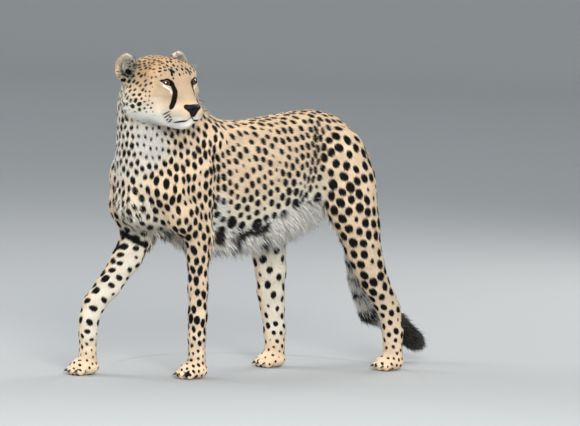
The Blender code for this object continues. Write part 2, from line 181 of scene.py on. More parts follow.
# ---------------------------------------------------------------------------
# The skin: one closed surface over all the flesh, from the nose to the tail's
# end, lying inside the solids by the coat's depth.  Rounded masses along the
# skeleton are blended, and the face and paws are then refined.
# ---------------------------------------------------------------------------
TRUNK = np.array((  # how far back, top, bottom, half width
    (-0.385, 0.545, 0.440, 0.052),
    (-0.330, 0.620, 0.405, 0.078),
    (-0.220, 0.680, 0.378, 0.100),
    (-0.110, 0.708, 0.362, 0.105),
    (-0.010, 0.713, 0.358, 0.107),
    (0.090, 0.727, 0.372, 0.104),
    (0.180, 0.742, 0.410, 0.094),
    (0.255, 0.745, 0.462, 0.088),
    (0.330, 0.716, 0.520, 0.078),
    (0.380, 0.668, 0.560, 0.054),
))
LIMBS = {  # place, radius, how flat from side to side
    "fore_left": (
        ((0.055, -0.150, 0.660), 0.045, 0.80),
        ((0.072, -0.300, 0.530), 0.056, 0.85),
        ((0.083, -0.250, 0.455), 0.052, 0.85),
        ((0.082, -0.195, 0.400), 0.039, 0.95),
        ((0.080, -0.192, 0.345), 0.033, 0.95),
        ((0.079, -0.186, 0.250), 0.0285, 1.0),
        ((0.078, -0.183, 0.170), 0.0275, 1.0),
        ((0.078, -0.183, 0.115), 0.0255, 1.0),
        ((0.078, -0.180, 0.048), 0.0260, 1.0),
    ),
    "fore_right": (
        ((-0.055, -0.165, 0.665), 0.045, 0.80),
        ((-0.072, -0.322, 0.552), 0.062, 0.85),
        ((-0.084, -0.312, 0.470), 0.063, 0.85),
        ((-0.084, -0.284, 0.390), 0.047, 0.95),
        ((-0.083, -0.320, 0.318), 0.042, 0.95),
        ((-0.082, -0.378, 0.243), 0.035, 1.0),
        ((-0.081, -0.424, 0.193), 0.031, 1.0),
        ((-0.080, -0.438, 0.150), 0.0280, 1.0),
        ((-0.079, -0.439, 0.110), 0.0255, 1.0),
        ((-0.078, -0.438, 0.048), 0.0260, 1.0),
    ),
    "hind_left": (
        ((0.062, 0.288, 0.606), 0.090, 0.62),
        ((0.070, 0.316, 0.535), 0.088, 0.62),
        ((0.080, 0.322, 0.479), 0.082, 0.64),
        ((0.085, 0.348, 0.414), 0.066, 0.70),
        ((0.086, 0.365, 0.352), 0.056, 0.76),
        ((0.085, 0.390, 0.298), 0.048, 0.84),
        ((0.084, 0.414, 0.253), 0.041, 0.90),
        ((0.083, 0.448, 0.206), 0.036, 0.92),
        ((0.082, 0.471, 0.170), 0.034, 0.90),
        ((0.081, 0.487, 0.110), 0.031, 0.95),
        ((0.080, 0.492, 0.048), 0.0300, 1.0),
    ),
    "hind_right": (
        ((-0.062, 0.274, 0.604), 0.088, 0.62),
        ((-0.072, 0.225, 0.530), 0.078, 0.62),
        ((-0.080, 0.172, 0.465), 0.072, 0.66),
        ((-0.084, 0.152, 0.400), 0.062, 0.70),
        ((-0.083, 0.158, 0.330), 0.053, 0.78),
        ((-0.081, 0.167, 0.273), 0.0465, 0.86),
        ((-0.080, 0.169, 0.210), 0.040, 0.92),
        ((-0.080, 0.178, 0.166), 0.0355, 0.90),
        ((-0.078, 0.187, 0.104), 0.0325, 0.95),
        ((-0.077, 0.190, 0.048), 0.0300, 1.0),
    ),
}
TRICEPS = {
    "fore_left": (((0.070, -0.195, 0.570), 0.055, 0.8), ((0.082, -0.186, 0.420), 0.028, 0.8)),
    "fore_right": (((-0.070, -0.215, 0.570), 0.055, 0.8), ((-0.084, -0.262, 0.405), 0.030, 0.8)),
}
NECK = (
    (((-0.004, -0.210, 0.585), 0.114, 0.89), ((0, -0.310, 0.785), 0.087, 0.89)),
    (((0, -0.150, 0.635), 0.076, 0.89), ((0, -0.262, 0.775), 0.068, 0.89)),
    (((-0.014, -0.296, 0.600), 0.109, 0.89), ((-0.012, -0.320, 0.740), 0.086, 0.89)),
)
TAIL = (
    ((0, 0.350, 0.645), 0.038, 1.0),
    ((-0.008, 0.412, 0.600), 0.033, 1.0),
    ((-0.030, 0.438, 0.500), 0.027, 1.0),
    ((-0.068, 0.424, 0.360), 0.025, 1.0),
    ((-0.078, 0.462, 0.240), 0.026, 1.0),
    ((-0.080, 0.512, 0.145), 0.028, 1.0),
    ((-0.070, 0.602, 0.116), 0.034, 1.0),
    ((-0.058, 0.660, 0.068), 0.032, 1.0),
)
HEAD_AT = np.array((0.0467, -0.3263, 0.8020))
HEAD_SIZE = 1.085                  # lengths in the head's own frame are drawn this much larger
HEAD_TURN = np.array(Euler((math.radians(1.5), math.radians(-2.0), math.radians(96.0))).to_matrix())
TRUNK_DEPTH, NECK_DEPTH, HEAD_DEPTH = 0.0055, 0.0070, 0.0028   # how deep the coat is there
TAIL_SHARE, LIMB_THINNED = 0.66, (0.93, 0.0008)   # a radius times the first, less the second
PAW_AHEAD, PAW_CENTRE, PAW_HALF, TOES, TOE_RADIUS = 0.014, 0.022, (0.031, 0.043, 0.0245), 4, 0.0120
EYE_AT, EYE_RADIUS = np.array((0.0400, -0.0775, 0.0215)), 0.0175
NOSE_AT = np.array((0, -0.1450, -0.0380))
EAR_AT, EAR_LEAN = np.array((0.085, 0.024, 0.052)), math.radians(28.0)
EAR_HALF, EAR_HOLLOW_AT = (0.0325, 0.0140, 0.0375), (0, -0.011, 0.001)
FAR = 0.06                      # distances are kept no further than this


def blended(first, second, width):
    """The lesser of two distances, rounded off where they differ by under the width."""
    near = np.maximum(width - np.abs(first - second), 0) / width
    return np.minimum(first, second) - near * near * width * 0.25


def carved(first, second, width):
    """The first solid less the second, the rim rounded over the width."""
    return -blended(-first, second, width)


def bar_distance(points, start, end):
    """Distance to a round-ended bar: that to its axis less the radius there, with
    the offset from side to side stretched where the bar is flat."""
    (a, radius_a, flat_a), (b, radius_b, flat_b) = start, end
    axis = np.subtract(b, a)
    near = points - np.asarray(a)
    share = np.clip(near @ axis / (axis @ axis), 0, 1)
    off = near - share[:, None] * axis
    off[:, 0] /= flat_a + share * (flat_b - flat_a)
    return np.sqrt((off * off).sum(1)) - (radius_a + share * (radius_b - radius_a))


def egg_distance(points, centre, half, turn=None):
    """Distance to an ellipsoid: the scaled radius less one, over its slope."""
    near = points - np.asarray(centre)
    if turn is not None:
        near = near @ turn
    half = np.asarray(half)
    scaled = np.sqrt(((near / half) ** 2).sum(1))
    slope = np.sqrt(((near / half**2) ** 2).sum(1)) + 1e-9
    return scaled * (scaled - 1) / slope


def eased(stations, at):
    """Each column of the stations at these places along, on a smoothed line through them."""
    fine = np.linspace(stations[0, 0], stations[-1, 0], 200)
    window = np.hanning(41) / np.hanning(41).sum()
    columns = []
    for i in range(1, stations.shape[1]):
        line = np.interp(fine, stations[:, 0], stations[:, i])
        padded = np.concatenate([2 * line[0] - line[20:0:-1], line, 2 * line[-1] - line[-2:-22:-1]])
        columns.append(np.interp(at, fine, np.convolve(padded, window, "valid")))
    return columns


def trunk_distance(points):
    """Distance to the barrel: an upright oval whose top, bottom and width change along
    the back, closed at both ends by the distance beyond them."""
    along = np.clip(points[:, 1], TRUNK[0, 0], TRUNK[-1, 0])
    top, bottom, half = eased(TRUNK, along)
    top, bottom, half = top - TRUNK_DEPTH, bottom + TRUNK_DEPTH * 1.6, half - TRUNK_DEPTH
    tall = (top - bottom) / 2
    across, up = points[:, 0], points[:, 2] - (top + bottom) / 2
    scaled = np.sqrt((across / half) ** 2 + (up / tall) ** 2 + 1e-12)
    slope = np.sqrt((across / half**2) ** 2 + (up / tall**2) ** 2) + 1e-9
    oval = scaled * (scaled - 1) / slope
    beyond = np.abs(points[:, 1] - along)
    return np.where(beyond > 0, np.sqrt(np.maximum(oval, 0) ** 2 + beyond**2), oval)


def mirrored(point, side):
    """A place or way given for the left, on this side: 1 is left, -1 right."""
    return np.array((side * point[0], point[1], point[2]))


def on_left(points):
    """The same places, those of the right side mirrored onto the left."""
    return np.abs(points * (1, 0, 0)) + points * (0, 1, 1)


def ear_turn(side):
    """The ear's own frame in the head's: leaning out by EAR_LEAN."""
    return np.array(Matrix.Rotation(side * EAR_LEAN, 3, "Y"))


def ear_near(near, side):
    """Places of the head's frame in one ear's own."""
    return (near - mirrored(EAR_AT, side)) @ ear_turn(side)


def eye_frame(side):
    """Rows: towards the temple, along the lids' height, and out of the eye."""
    out = mirrored((0.34, -0.93, 0.12), side)
    out /= np.linalg.norm(out)
    temple = mirrored((0.86, 0.42, 0.30), side)
    temple -= out * (temple @ out)
    temple /= np.linalg.norm(temple)
    lid = np.cross(temple, out) * -side
    return np.array((temple, lid, out))


LID_HALF = (0.0144, 0.0062)        # the opening's half length and half height
LID_THICK = 0.0026


def eye_near(near, side):
    """How far places of the head's frame are towards the temple, up the lids and outwards."""
    return ((near - mirrored(EYE_AT, side)) @ eye_frame(side).T).T


def opening_distance(points, side):
    """Distance to the eye's opening: an almond drawn across the eyeball, running from its
    middle outwards.  Its half height falls off as the square of the distance along it."""
    temple, lid, out = eye_near(points, side)
    along = temple / LID_HALF[0]
    top = LID_HALF[1] * (1.02 - along**2 * (0.9 + 0.12 * along)) + 0.0012
    low = -LID_HALF[1] * (0.92 - along**2 * 0.86) + 0.0012
    almond = np.maximum(lid - top, low - lid)
    return np.maximum(almond, -0.002 - out)


LIP_LINE = np.array((  # how far back, and the height where the lips meet
    (-0.150, -0.0665), (-0.136, -0.0685), (-0.128, -0.0708),
    (-0.116, -0.0733), (-0.104, -0.0748), (-0.088, -0.0750),
))
LIP_NOTCH = 0.0085                 # how much higher the lips meet under the nose


def lip_height(near):
    """The height at which the lips meet, beside each point of the head's frame."""
    line = np.interp(near[:, 1], LIP_LINE[:, 0], LIP_LINE[:, 1])
    return line + LIP_NOTCH * np.exp(-((near[:, 0] / 0.0075) ** 2))


def path_distance(points, path):
    """Distance to a broken line through the path's points, and how far along the nearest is."""
    best = np.full(len(points), np.inf)
    along = np.zeros(len(points))
    gone = 0.0
    for a, b in zip(path, path[1:]):
        a, axis = np.asarray(a), np.subtract(b, a)
        long = np.linalg.norm(axis)
        share = np.clip((points - a) @ axis / long**2, 0, 1)
        off = np.linalg.norm(points - a - share[:, None] * axis, axis=1)
        along = np.where(off < best, gone + share * long, along)
        best = np.minimum(best, off)
        gone += long
    return best, along


FACE_EGGS = (  # rounded masses of both sides: centre, half size and blend
    ((0.040, -0.052, 0.042), (0.028, 0.028, 0.023), 0.014),        # brow
    ((0.049, -0.006, -0.028), (0.045, 0.062, 0.049), 0.020),       # cheek
    ((0.049, -0.054, -0.004), (0.029, 0.034, 0.028), 0.020),       # cheekbone
    ((0.021, -0.118, -0.052), (0.028, 0.031, 0.026), 0.010),       # whisker pad
)
FACE_BARS = (  # bars of both sides: start, radius, end, radius, what the coat takes off, blend
    ((0.038, -0.020, -0.050), 0.033, (0.016, -0.092, -0.072), 0.021, HEAD_DEPTH, 0.014),   # jaw
    ((0.018, -0.082, 0.034), 0.0125, (0.050, -0.063, 0.038), 0.0120, 0.0, 0.024),          # brow
    ((0.024, -0.090, -0.004), 0.0150, (0.052, -0.062, 0.000), 0.0160, 0.0, 0.022),         # lower lid
    ((0.040, -0.048, -0.036), 0.0270, (0.020, -0.108, -0.048), 0.0230, 0.0, 0.016),        # flews
)


def head_distance(points):
    """Distance to the head in the body's frame.  Skull, cheeks, muzzle and jaw are blended,
    ears are hollowed shells, and lids, lips and the folds between them are carved in."""
    near = head_near(points)
    d = HEAD_DEPTH
    field = egg_distance(near, (0, 0.012, 0.016), np.array((0.077, 0.078, 0.068)) - d)
    forehead = egg_distance(near, (0, -0.037, 0.033), np.array((0.064, 0.056, 0.050)) - d)
    field = blended(field, forehead, 0.014)
    bridge = (((0, -0.070, 0.008), 0.038 - d, 1.0), ((0, -0.128, -0.031), 0.024 - d * 0.6, 1.0))
    field = blended(field, bar_distance(near, *bridge), 0.016)
    for side in (1, -1):
        for centre, half, width in FACE_EGGS:
            egg = egg_distance(near, mirrored(centre, side), np.array(half) - d * 0.7)
            field = blended(field, egg, width)
        for start, first, end, last, less, width in FACE_BARS:
            bar = (mirrored(start, side), first - less, 1.0), (mirrored(end, side), last - less, 1.0)
            field = blended(field, bar_distance(near, *bar), width)
    chin = egg_distance(near, (0, -0.106, -0.078), np.array((0.025, 0.026, 0.017)) - d * 0.6)
    field = blended(field, chin, 0.010)
    for side in (1, -1):
        shell = egg_distance(near, mirrored(EAR_AT, side), EAR_HALF, ear_turn(side))
        hollow = egg_distance(ear_near(near, side), EAR_HOLLOW_AT, (0.0245, 0.0150, 0.0295))
        field = blended(field, carved(shell, hollow, 0.004), 0.012)
        ball = egg_distance(near, mirrored(EYE_AT, side), (EYE_RADIUS + LID_THICK,) * 3)
        field = blended(field, ball, 0.007)
        field = carved(field, opening_distance(near, side), 0.0022)
    groove = np.maximum(np.abs(near[:, 2] - lip_height(near)) - 0.0016, -field - 0.0034)
    return carved(field, np.maximum(groove, near[:, 1] + 0.108), 0.0022) * HEAD_SIZE


def thinned(places, share, less):
    """The places of a row of bars, each radius less what the coat there takes up."""
    return [(np.array(place), radius * share - less, flat) for place, radius, flat in places]


def limb_parts(limb):
    """The bars of one limb without its coat, and that of the upper arm's back."""
    places = thinned(LIMBS[limb], *LIMB_THINNED)
    bars = list(zip(places, places[1:]))
    if limb in TRICEPS:
        bars.append(thinned(TRICEPS[limb], *LIMB_THINNED))
    return bars


def paw_at(limb):
    """The middle of a paw, on the floor: a little ahead of the limb's last place."""
    place = LIMBS[limb][-1][0]
    return np.array((place[0], place[1] - PAW_AHEAD, 0.0))


def toe_places(limb):
    """The toes stand on an arc across the front of the paw."""
    width, length, _ = PAW_HALF
    across = (np.arange(TOES) - (TOES - 1) / 2) / ((TOES - 1) / 2)
    aside, back_by = across * (width - TOE_RADIUS * 0.6), -length * 0.84 + 0.012 * across**2
    return paw_at(limb) + np.stack([aside, back_by, np.full(TOES, TOE_RADIUS)], 1)


def paw_distance(points, limb):
    """Distance to a paw: a low pad with a row of knuckled toes that dip to the floor."""
    paw = paw_at(limb)
    field = egg_distance(points, paw + np.array((0, 0.004, PAW_CENTRE)), PAW_HALF)
    for toe in toe_places(limb):
        knuckle = toe + np.array(((paw[0] - toe[0]) * 0.22, 0.020, 0.013))
        bar = bar_distance(points, (knuckle, TOE_RADIUS * 0.95, 1.0), (toe, TOE_RADIUS, 1.0))
        field = blended(field, bar, 0.004)
    return field


def sole_distance(points):
    """Everything is cut off flat a hair above the floor."""
    return 0.0006 - points[:, 2]


def masses():
    """Every mass of the body: its group, the low and high corner of its box, the distance
    to it, the width it blends over and the way its hair lies."""
    low, high = TRUNK[0, 0] - 0.02, TRUNK[-1, 0] + 0.02
    yield "trunk", (-0.12, low, 0.34), (0.12, high, 0.75), trunk_distance, 0.020, (0, 1, -0.22)
    for group, centre, half, lie in (
        ("trunk", (0, -0.130, 0.645), (0.062, 0.110, 0.058), (0, 1, -0.4)),
        ("chest", (0, -0.325, 0.485), (0.070, 0.064, 0.077), (0, 0.25, -1)),
    ):
        c, h = np.array(centre), np.array(half)
        yield group, c - h, c + h, lambda p, c=c, h=h: egg_distance(p, c, h), 0.030, lie
    for places in NECK:
        yield bar_mass("neck", thinned(places, 1, NECK_DEPTH)[::-1], 0.040)
    for limb in LIMBS:
        for ends in limb_parts(limb):
            yield bar_mass(limb, ends, 0.014 if ends[0][0][2] < 0.40 else 0.022)
        paw = paw_at(limb)
        reach = np.array((0.036, 0.056, 0.0))
        distance = lambda p, limb=limb: paw_distance(p, limb)
        yield limb, paw - reach, paw + reach + (0, 0, 0.055), distance, 0.012, (0, -1, -0.35)
    for places in zip(TAIL, TAIL[1:]):
        yield bar_mass("tail", thinned(places, TAIL_SHARE, 0), 0.006)
    yield "head", HEAD_AT - 0.180, HEAD_AT + 0.180, head_distance, 0.020, None


def bar_mass(group, ends, width):
    """A bar as one of the masses; its hair lies from its first end to its second."""
    reach = max(radius for _, radius, _ in ends)
    low = np.min([place for place, _, _ in ends], axis=0) - reach
    high = np.max([place for place, _, _ in ends], axis=0) + reach
    return group, low, high, lambda p: bar_distance(p, *ends), width, ends[1][0] - ends[0][0]


FOLDS = (  # depth, width and path of the soft valleys behind the shoulder, before the thigh
    # and across the shoulder
    (0.0055, 0.0120, (
        (0.098, -0.172, 0.630), (0.102, -0.157, 0.537), (0.100, -0.152, 0.450),
        (0.096, -0.150, 0.400))),
    (0.0035, 0.0110, (
        (0.060, 0.215, 0.695), (0.083, 0.188, 0.633), (0.090, 0.162, 0.547), (0.080, 0.155, 0.480))),
    (0.0030, 0.0120, ((0.086, -0.245, 0.640), (0.100, -0.262, 0.560), (0.100, -0.235, 0.470))),
)


def folded(points, field):
    """The distance raised along the folds, which sinks a valley there on both sides."""
    reached = (np.abs(points[:, 0]) > 0.03) & (points[:, 2] > 0.35) & (np.abs(field) < 0.03)
    near = np.nonzero(reached)[0]
    beside = on_left(points[near])
    for depth, width, path in FOLDS:
        off, _ = path_distance(beside, path)
        field[near] += depth * np.exp(-((off / width) ** 2))
    return field


def in_box(points, low, high, margin):
    """Which of the points lie in a box, widened by the margin."""
    above, below = points > np.asarray(low) - margin, points < np.asarray(high) + margin
    return np.nonzero((above & below).all(1))[0]


def flesh_distance(points, groups=None):
    """Distance to the whole flesh: every mass blended in turn, then cut flat at the floor.
    With groups, only to their masses."""
    field = np.full(len(points), FAR)
    for group, low, high, distance, width, _ in masses():
        if groups and group not in groups:
            continue
        near = in_box(points, low, high, FAR)
        if len(near):
            field[near] = blended(field[near], np.minimum(distance(points[near]), FAR), width)
    return field if groups else np.maximum(folded(points, field), sole_distance(points))


GRID = 0.0066
GRID_LOW, GRID_HIGH = np.array((-0.17, -0.55, -0.024)), np.array((0.26, 0.74, 0.94))


def grid_places(axes):
    """Every place of a grid, from the values along its three axes."""
    return np.stack(np.meshgrid(*axes, indexing="ij"), -1)


def flesh_grid():
    """The flesh distance at every corner of a grid, each mass worked out only near itself,
    and the corners."""
    count = np.ceil((GRID_HIGH - GRID_LOW) / GRID).astype(int) + 1
    axes = [GRID_LOW[k] + GRID * np.arange(count[k]) for k in range(3)]
    field = np.full(count, FAR, np.float32)
    for _, low, high, distance, width, _ in masses():
        first = np.maximum(((np.asarray(low) - FAR - GRID_LOW) / GRID).astype(int), 0)
        last = np.minimum(((np.asarray(high) + FAR - GRID_LOW) / GRID).astype(int) + 2, count)
        block = tuple(slice(a, b) for a, b in zip(first, last))
        corners = grid_places([axes[k][block[k]] for k in range(3)])
        here = np.minimum(distance(corners.reshape(-1, 3)), FAR).reshape(corners.shape[:3])
        field[block] = blended(field[block], here, width)
    corners = grid_places(axes).reshape(-1, 3)
    return folded(corners, field.reshape(-1)).reshape(count), corners


def softened(field, rounds):
    """The grid averaged with its neighbours along each axis, which rounds off creases."""
    for _ in range(rounds):
        for axis in range(3):
            padded = np.concatenate([field.take([0], axis), field, field.take([-1], axis)], axis)
            n = field.shape[axis]
            parts = [padded.take(range(k, k + n), axis) for k in range(3)]
            field = (parts[0] + 2 * parts[1] + parts[2]) / 4
    return field


def unit(vectors):
    """The vectors at length 1."""
    return vectors / np.maximum(np.linalg.norm(vectors, axis=1, keepdims=True), 1e-9)


def ramp(value, start, end):
    """0 before start, 1 after end, and a smooth rise between; start may be the larger."""
    share = np.clip((value - start) / (end - start), 0, 1)
    return share * share * (3 - 2 * share)


def head_near(points):
    """Points in the head's own frame: x left, y back, z up."""
    return (points - HEAD_AT) @ HEAD_TURN / HEAD_SIZE


def from_head(near):
    """Places of the head's own frame back in the body's."""
    return HEAD_AT + HEAD_SIZE * near @ HEAD_TURN.T


def detail_share(points):
    """How far a point takes the sharp surface: 1 on the head and paws, 0 on the body."""
    off = head_near(points) - (0, -0.02, 0.01)
    reach = np.linalg.norm(off / (0.135, 0.125, 0.125), axis=1)
    head = ramp(reach, 1.05, 0.80) * ramp(points[:, 2], 0.66, 0.70)
    return np.maximum(head, ramp(points[:, 2], 0.085, 0.055))


def surface_of(field, step, background):
    """Points and quads of the surface where a grid of distances passes zero."""
    grid = openvdb.FloatGrid(background=background)
    grid.copyFromArray(field)
    points, faces = grid.convertToQuads(0.0)
    return points * step, faces


flesh, corners = flesh_grid()
sharp = detail_share(corners).reshape(flesh.shape)
flesh = sharp * flesh + (1 - sharp) * softened(flesh, 2)
flesh = np.maximum(flesh, sole_distance(corners).reshape(flesh.shape)).astype(np.float32)
skin_points, skin_faces = surface_of(flesh, GRID, FAR)
skin_points = skin_points + GRID_LOW


def mesh_arrays(mesh):
    """A mesh's points, normals and triangles as arrays."""
    points = np.empty(len(mesh.vertices) * 3, np.float32)
    mesh.vertices.foreach_get("co", points)
    normals = np.empty(len(mesh.vertices) * 3, np.float32)
    mesh.vertex_normals.foreach_get("vector", normals)
    mesh.calc_loop_triangles()
    triangles = np.empty(len(mesh.loop_triangles) * 3, np.int32)
    mesh.loop_triangles.foreach_get("vertices", triangles)
    places, ways = (found.reshape(-1, 3).astype(float) for found in (points, normals))
    return places, ways, triangles.reshape(-1, 3)


def edge_ends(mesh):
    """The two points of every edge."""
    ends = np.empty(len(mesh.edges) * 2, np.int32)
    mesh.edges.foreach_get("vertices", ends)
    return ends.reshape(-1, 2)


def put_points(mesh, points):
    """Moves a mesh's points to these places."""
    mesh.vertices.foreach_set("co", points.astype(np.float32).ravel())
    mesh.update()


def halved_where(mesh, wanted):
    """Cuts every edge whose two ends are wanted in half, and each whole face into four."""
    points, _, _ = mesh_arrays(mesh)
    chosen = wanted(points - STAND_AT)
    bm = bmesh.new()
    bm.from_mesh(mesh)
    both = chosen[edge_ends(mesh)].all(1)
    edges = [edge for edge, kept in zip(bm.edges, both) if kept]
    bmesh.ops.subdivide_edges(bm, edges=edges, cuts=1, use_grid_fill=True)
    bm.to_mesh(mesh)
    bm.free()
    mesh.update()


def drawn_to_flesh(mesh, rounds, share_of):
    """Moves each point along its normal onto the sharp surface, by its share of the way."""
    for _ in range(rounds):
        points, normals, _ = mesh_arrays(mesh)
        places = points - STAND_AT
        share = share_of(places)
        moved = np.nonzero(share > 0)[0]
        off = np.clip(flesh_distance(places[moved]), -0.004, 0.004)
        points[moved] -= normals[moved] * (off * share[moved])[:, None]
        put_points(mesh, points)


def settled(mesh, wanted, rounds=2):
    """Brings back the points that still stand off the sharp surface: each goes to the
    middle of its neighbours and then down the distance's own slope."""
    ends = edge_ends(mesh)
    start, end = np.concatenate([ends, ends[:, ::-1]]).T
    for _ in range(rounds):
        points, _, _ = mesh_arrays(mesh)
        places = points - STAND_AT
        chosen = np.nonzero(wanted(places))[0]
        astray = chosen[np.abs(flesh_distance(places[chosen])) > 0.0007]
        near = np.isin(start, astray)
        count = np.maximum(np.bincount(start[near], minlength=len(points)), 1)
        sums = [np.bincount(start[near], places[end[near], k], len(points)) for k in range(3)]
        place = (np.stack(sums, 1) / count[:, None])[astray]
        for _ in range(3):
            off = flesh_distance(place)
            steps = 0.0003 * np.eye(3)
            rises = [flesh_distance(place + step) - flesh_distance(place - step) for step in steps]
            place = place - unit(np.stack(rises, 1)) * off[:, None].clip(-0.004, 0.004)
        points[astray] = place + STAND_AT
        put_points(mesh, points)


def on_head(points):
    """The whole head, down to where it is drawn to the sharp surface."""
    return detail_share(points) * (points[:, 2] > 0.5) > 0.3


def by_ears(near):
    """Which places of the head's frame are out and up where the ears are."""
    return (np.abs(near[:, 0]) > 0.062) & (near[:, 2] > 0.034)


def on_face(points):
    """The front of the head, with muzzle, eyes and brows, and the ears."""
    near = head_near(points)
    front = (near[:, 1] < -0.052) & (np.abs(near[:, 0]) < 0.068) & (near[:, 2] > -0.10)
    return on_head(points) & (front | by_ears(near))


def on_lids(points):
    """Close round the eyes, and along the lips and nose."""
    near = head_near(points)
    eyes = [
        np.linalg.norm((near - mirrored(EYE_AT, side)) / (1.35, 1.2, 1.0), axis=1) < 0.024
        for side in (1, -1)
    ]
    lips = (np.abs(near[:, 2] - lip_height(near)) < 0.006) & (near[:, 1] < -0.084)
    return on_face(points) & (eyes[0] | eyes[1] | lips)


def on_paws(points):
    """Everything near the floor."""
    return points[:, 2] < 0.050


hide, hide_shader = shader_of("coat_skin", (0.60, 0.42, 0.25), 0.72, Specular_IOR_Level=0.12)
skin = mesh_piece("skin", skin_points, skin_faces, hide)
halved_where(skin.data, lambda p: on_head(p) | on_paws(p))
drawn_to_flesh(skin.data, 2, detail_share)
halved_where(skin.data, on_face)
drawn_to_flesh(skin.data, 2, lambda p: detail_share(p) * on_head(p))
halved_where(skin.data, on_lids)
drawn_to_flesh(skin.data, 3, lambda p: detail_share(p) * on_face(p))
settled(skin.data, lambda p: on_lids(p) & (detail_share(p) > 0.99))
skin.data.polygons.foreach_set("use_smooth", np.full(len(skin.data.polygons), True))
FLESH_NODES = [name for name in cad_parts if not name.startswith(("eye", "nose"))]
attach(skin, "root")
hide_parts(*FLESH_NODES)

# ---------------------------------------------------------------------------
# The markings, worked out at any place on the flesh: which part it belongs to,
# which way the hair lies there, the ground tone, and how far it is to the
# nearest black spot, ring or line.
# ---------------------------------------------------------------------------
GROUPS = ("trunk", "chest", "neck", *LIMBS, "tail", "head")
HAIR_SOURCE = np.array((0, -0.165, -0.040))   # on the head the hair streams away from here
MERGE_WIDTH = 0.008                           # over which one group's coat turns into the next


def laid_flat(ways, normals):
    """Directions laid along the surface, at length 1."""
    return unit(ways - normals * (ways * normals).sum(1)[:, None])


def spun(ways, normals, angle):
    """Directions turned about the normals."""
    return unit(ways * np.cos(angle) + np.cross(normals, ways) * np.sin(angle))


def body_map(points, normals):
    """For each place, every group's share of it (they add up to 1) and the lie of the coat.
    A mass counts by how near its surface is; the lie is the masses' own, laid flat."""
    away = np.full((len(GROUPS), len(points)), FAR)
    lie = np.zeros((len(points), 3))
    for group, low, high, distance, _, along in masses():
        near = in_box(points, low, high, 0.03)
        if not len(near):
            continue
        off = np.abs(distance(points[near]))
        row = away[GROUPS.index(group)]
        row[near] = np.minimum(row[near], off)
        if along is None:
            way = unit(head_near(points[near]) - HAIR_SOURCE) + (0, 0.5, 0)
            way = way @ HEAD_TURN.T
        else:
            way = np.broadcast_to(np.asarray(along, float) / np.linalg.norm(along), (len(near), 3))
        lie[near] += unit(way) * np.exp(-off / MERGE_WIDTH)[:, None]
    shares = np.exp(-(away - away.min(0)) / MERGE_WIDTH)
    shares /= shares.sum(0)
    return dict(zip(GROUPS, shares)), laid_flat(lie, normals)


def tail_gone(points):
    """How far along the tail the nearest place of its axis is, from 0 at the root to 1."""
    path = [place for place, _, _ in TAIL]
    _, gone = path_distance(points, path)
    whole = sum(np.linalg.norm(np.subtract(b, a)) for a, b in zip(path, path[1:]))
    return gone / whole


TAN = np.array((0.84, 0.67, 0.49))
DEEP_TAN = np.array((0.82, 0.58, 0.36))
FACE_TAN = np.array((0.70, 0.53, 0.36))
CROWN_TAN = np.array((0.66, 0.44, 0.235))
CREAM = np.array((0.87, 0.79, 0.65))
WHITE = np.array((0.86, 0.84, 0.79))
BLACK = np.array((0.0045, 0.0040, 0.0036))
# a greyish brown under the chest: partly the coat's own tone and partly painted shade between the
# forelegs
BRISKET_AND_SHADE = np.array((0.52, 0.45, 0.36))
EAR_GREY = np.array((0.46, 0.42, 0.35))
TEAR = (  # the black line from the eye to the mouth, on the left of the head's frame
    (0.0320, -0.0925, 0.0215), (0.0301, -0.1015, 0.0131), (0.0298, -0.1080, 0.0035),
    (0.0313, -0.1094, -0.0080), (0.0338, -0.1085, -0.0196), (0.0392, -0.1110, -0.0300),
    (0.0418, -0.1125, -0.0352),
)
EYE_LINE = (  # the white line under the eye
    (0.0532, -0.0916, 0.0165), (0.0424, -0.0963, 0.0095), (0.0378, -0.1001, 0.0062),
    (0.0372, -0.1040, -0.0020),
)
BROW_STREAK = ((0.0254, -0.0844, 0.0548), (0.0290, -0.0925, 0.0425))
ARMPIT = ((0.096, -0.140, 0.490), (0.088, -0.128, 0.440), (0.076, -0.116, 0.400))
THROAT = ((0.050, -0.356, 0.705), (0.064, -0.345, 0.645))
BELLY_LINE = np.array((  # how far back, and the belly's lowest height there
    (-0.30, 0.378), (-0.18, 0.376), (-0.06, 0.378), (0.00, 0.386),
    (0.06, 0.411), (0.10, 0.430), (0.14, 0.456),
))


def mixed(first, second, share):
    """First where share is 0, second where it is 1."""
    return first + (second - first) * np.asarray(share)[:, None]


def over_belly(points):
    """How far each place is above the belly's lowest line."""
    return points[:, 2] - np.interp(points[:, 1], BELLY_LINE[:, 0], BELLY_LINE[:, 1])


def fold_share(points):
    """How near each place is to one of the folds, from 0 to 1."""
    beside = on_left(points)
    off = np.min([path_distance(beside, path)[0] for _, _, path in FOLDS[:2]], axis=0)
    return ramp(off, 0.026, 0.012)


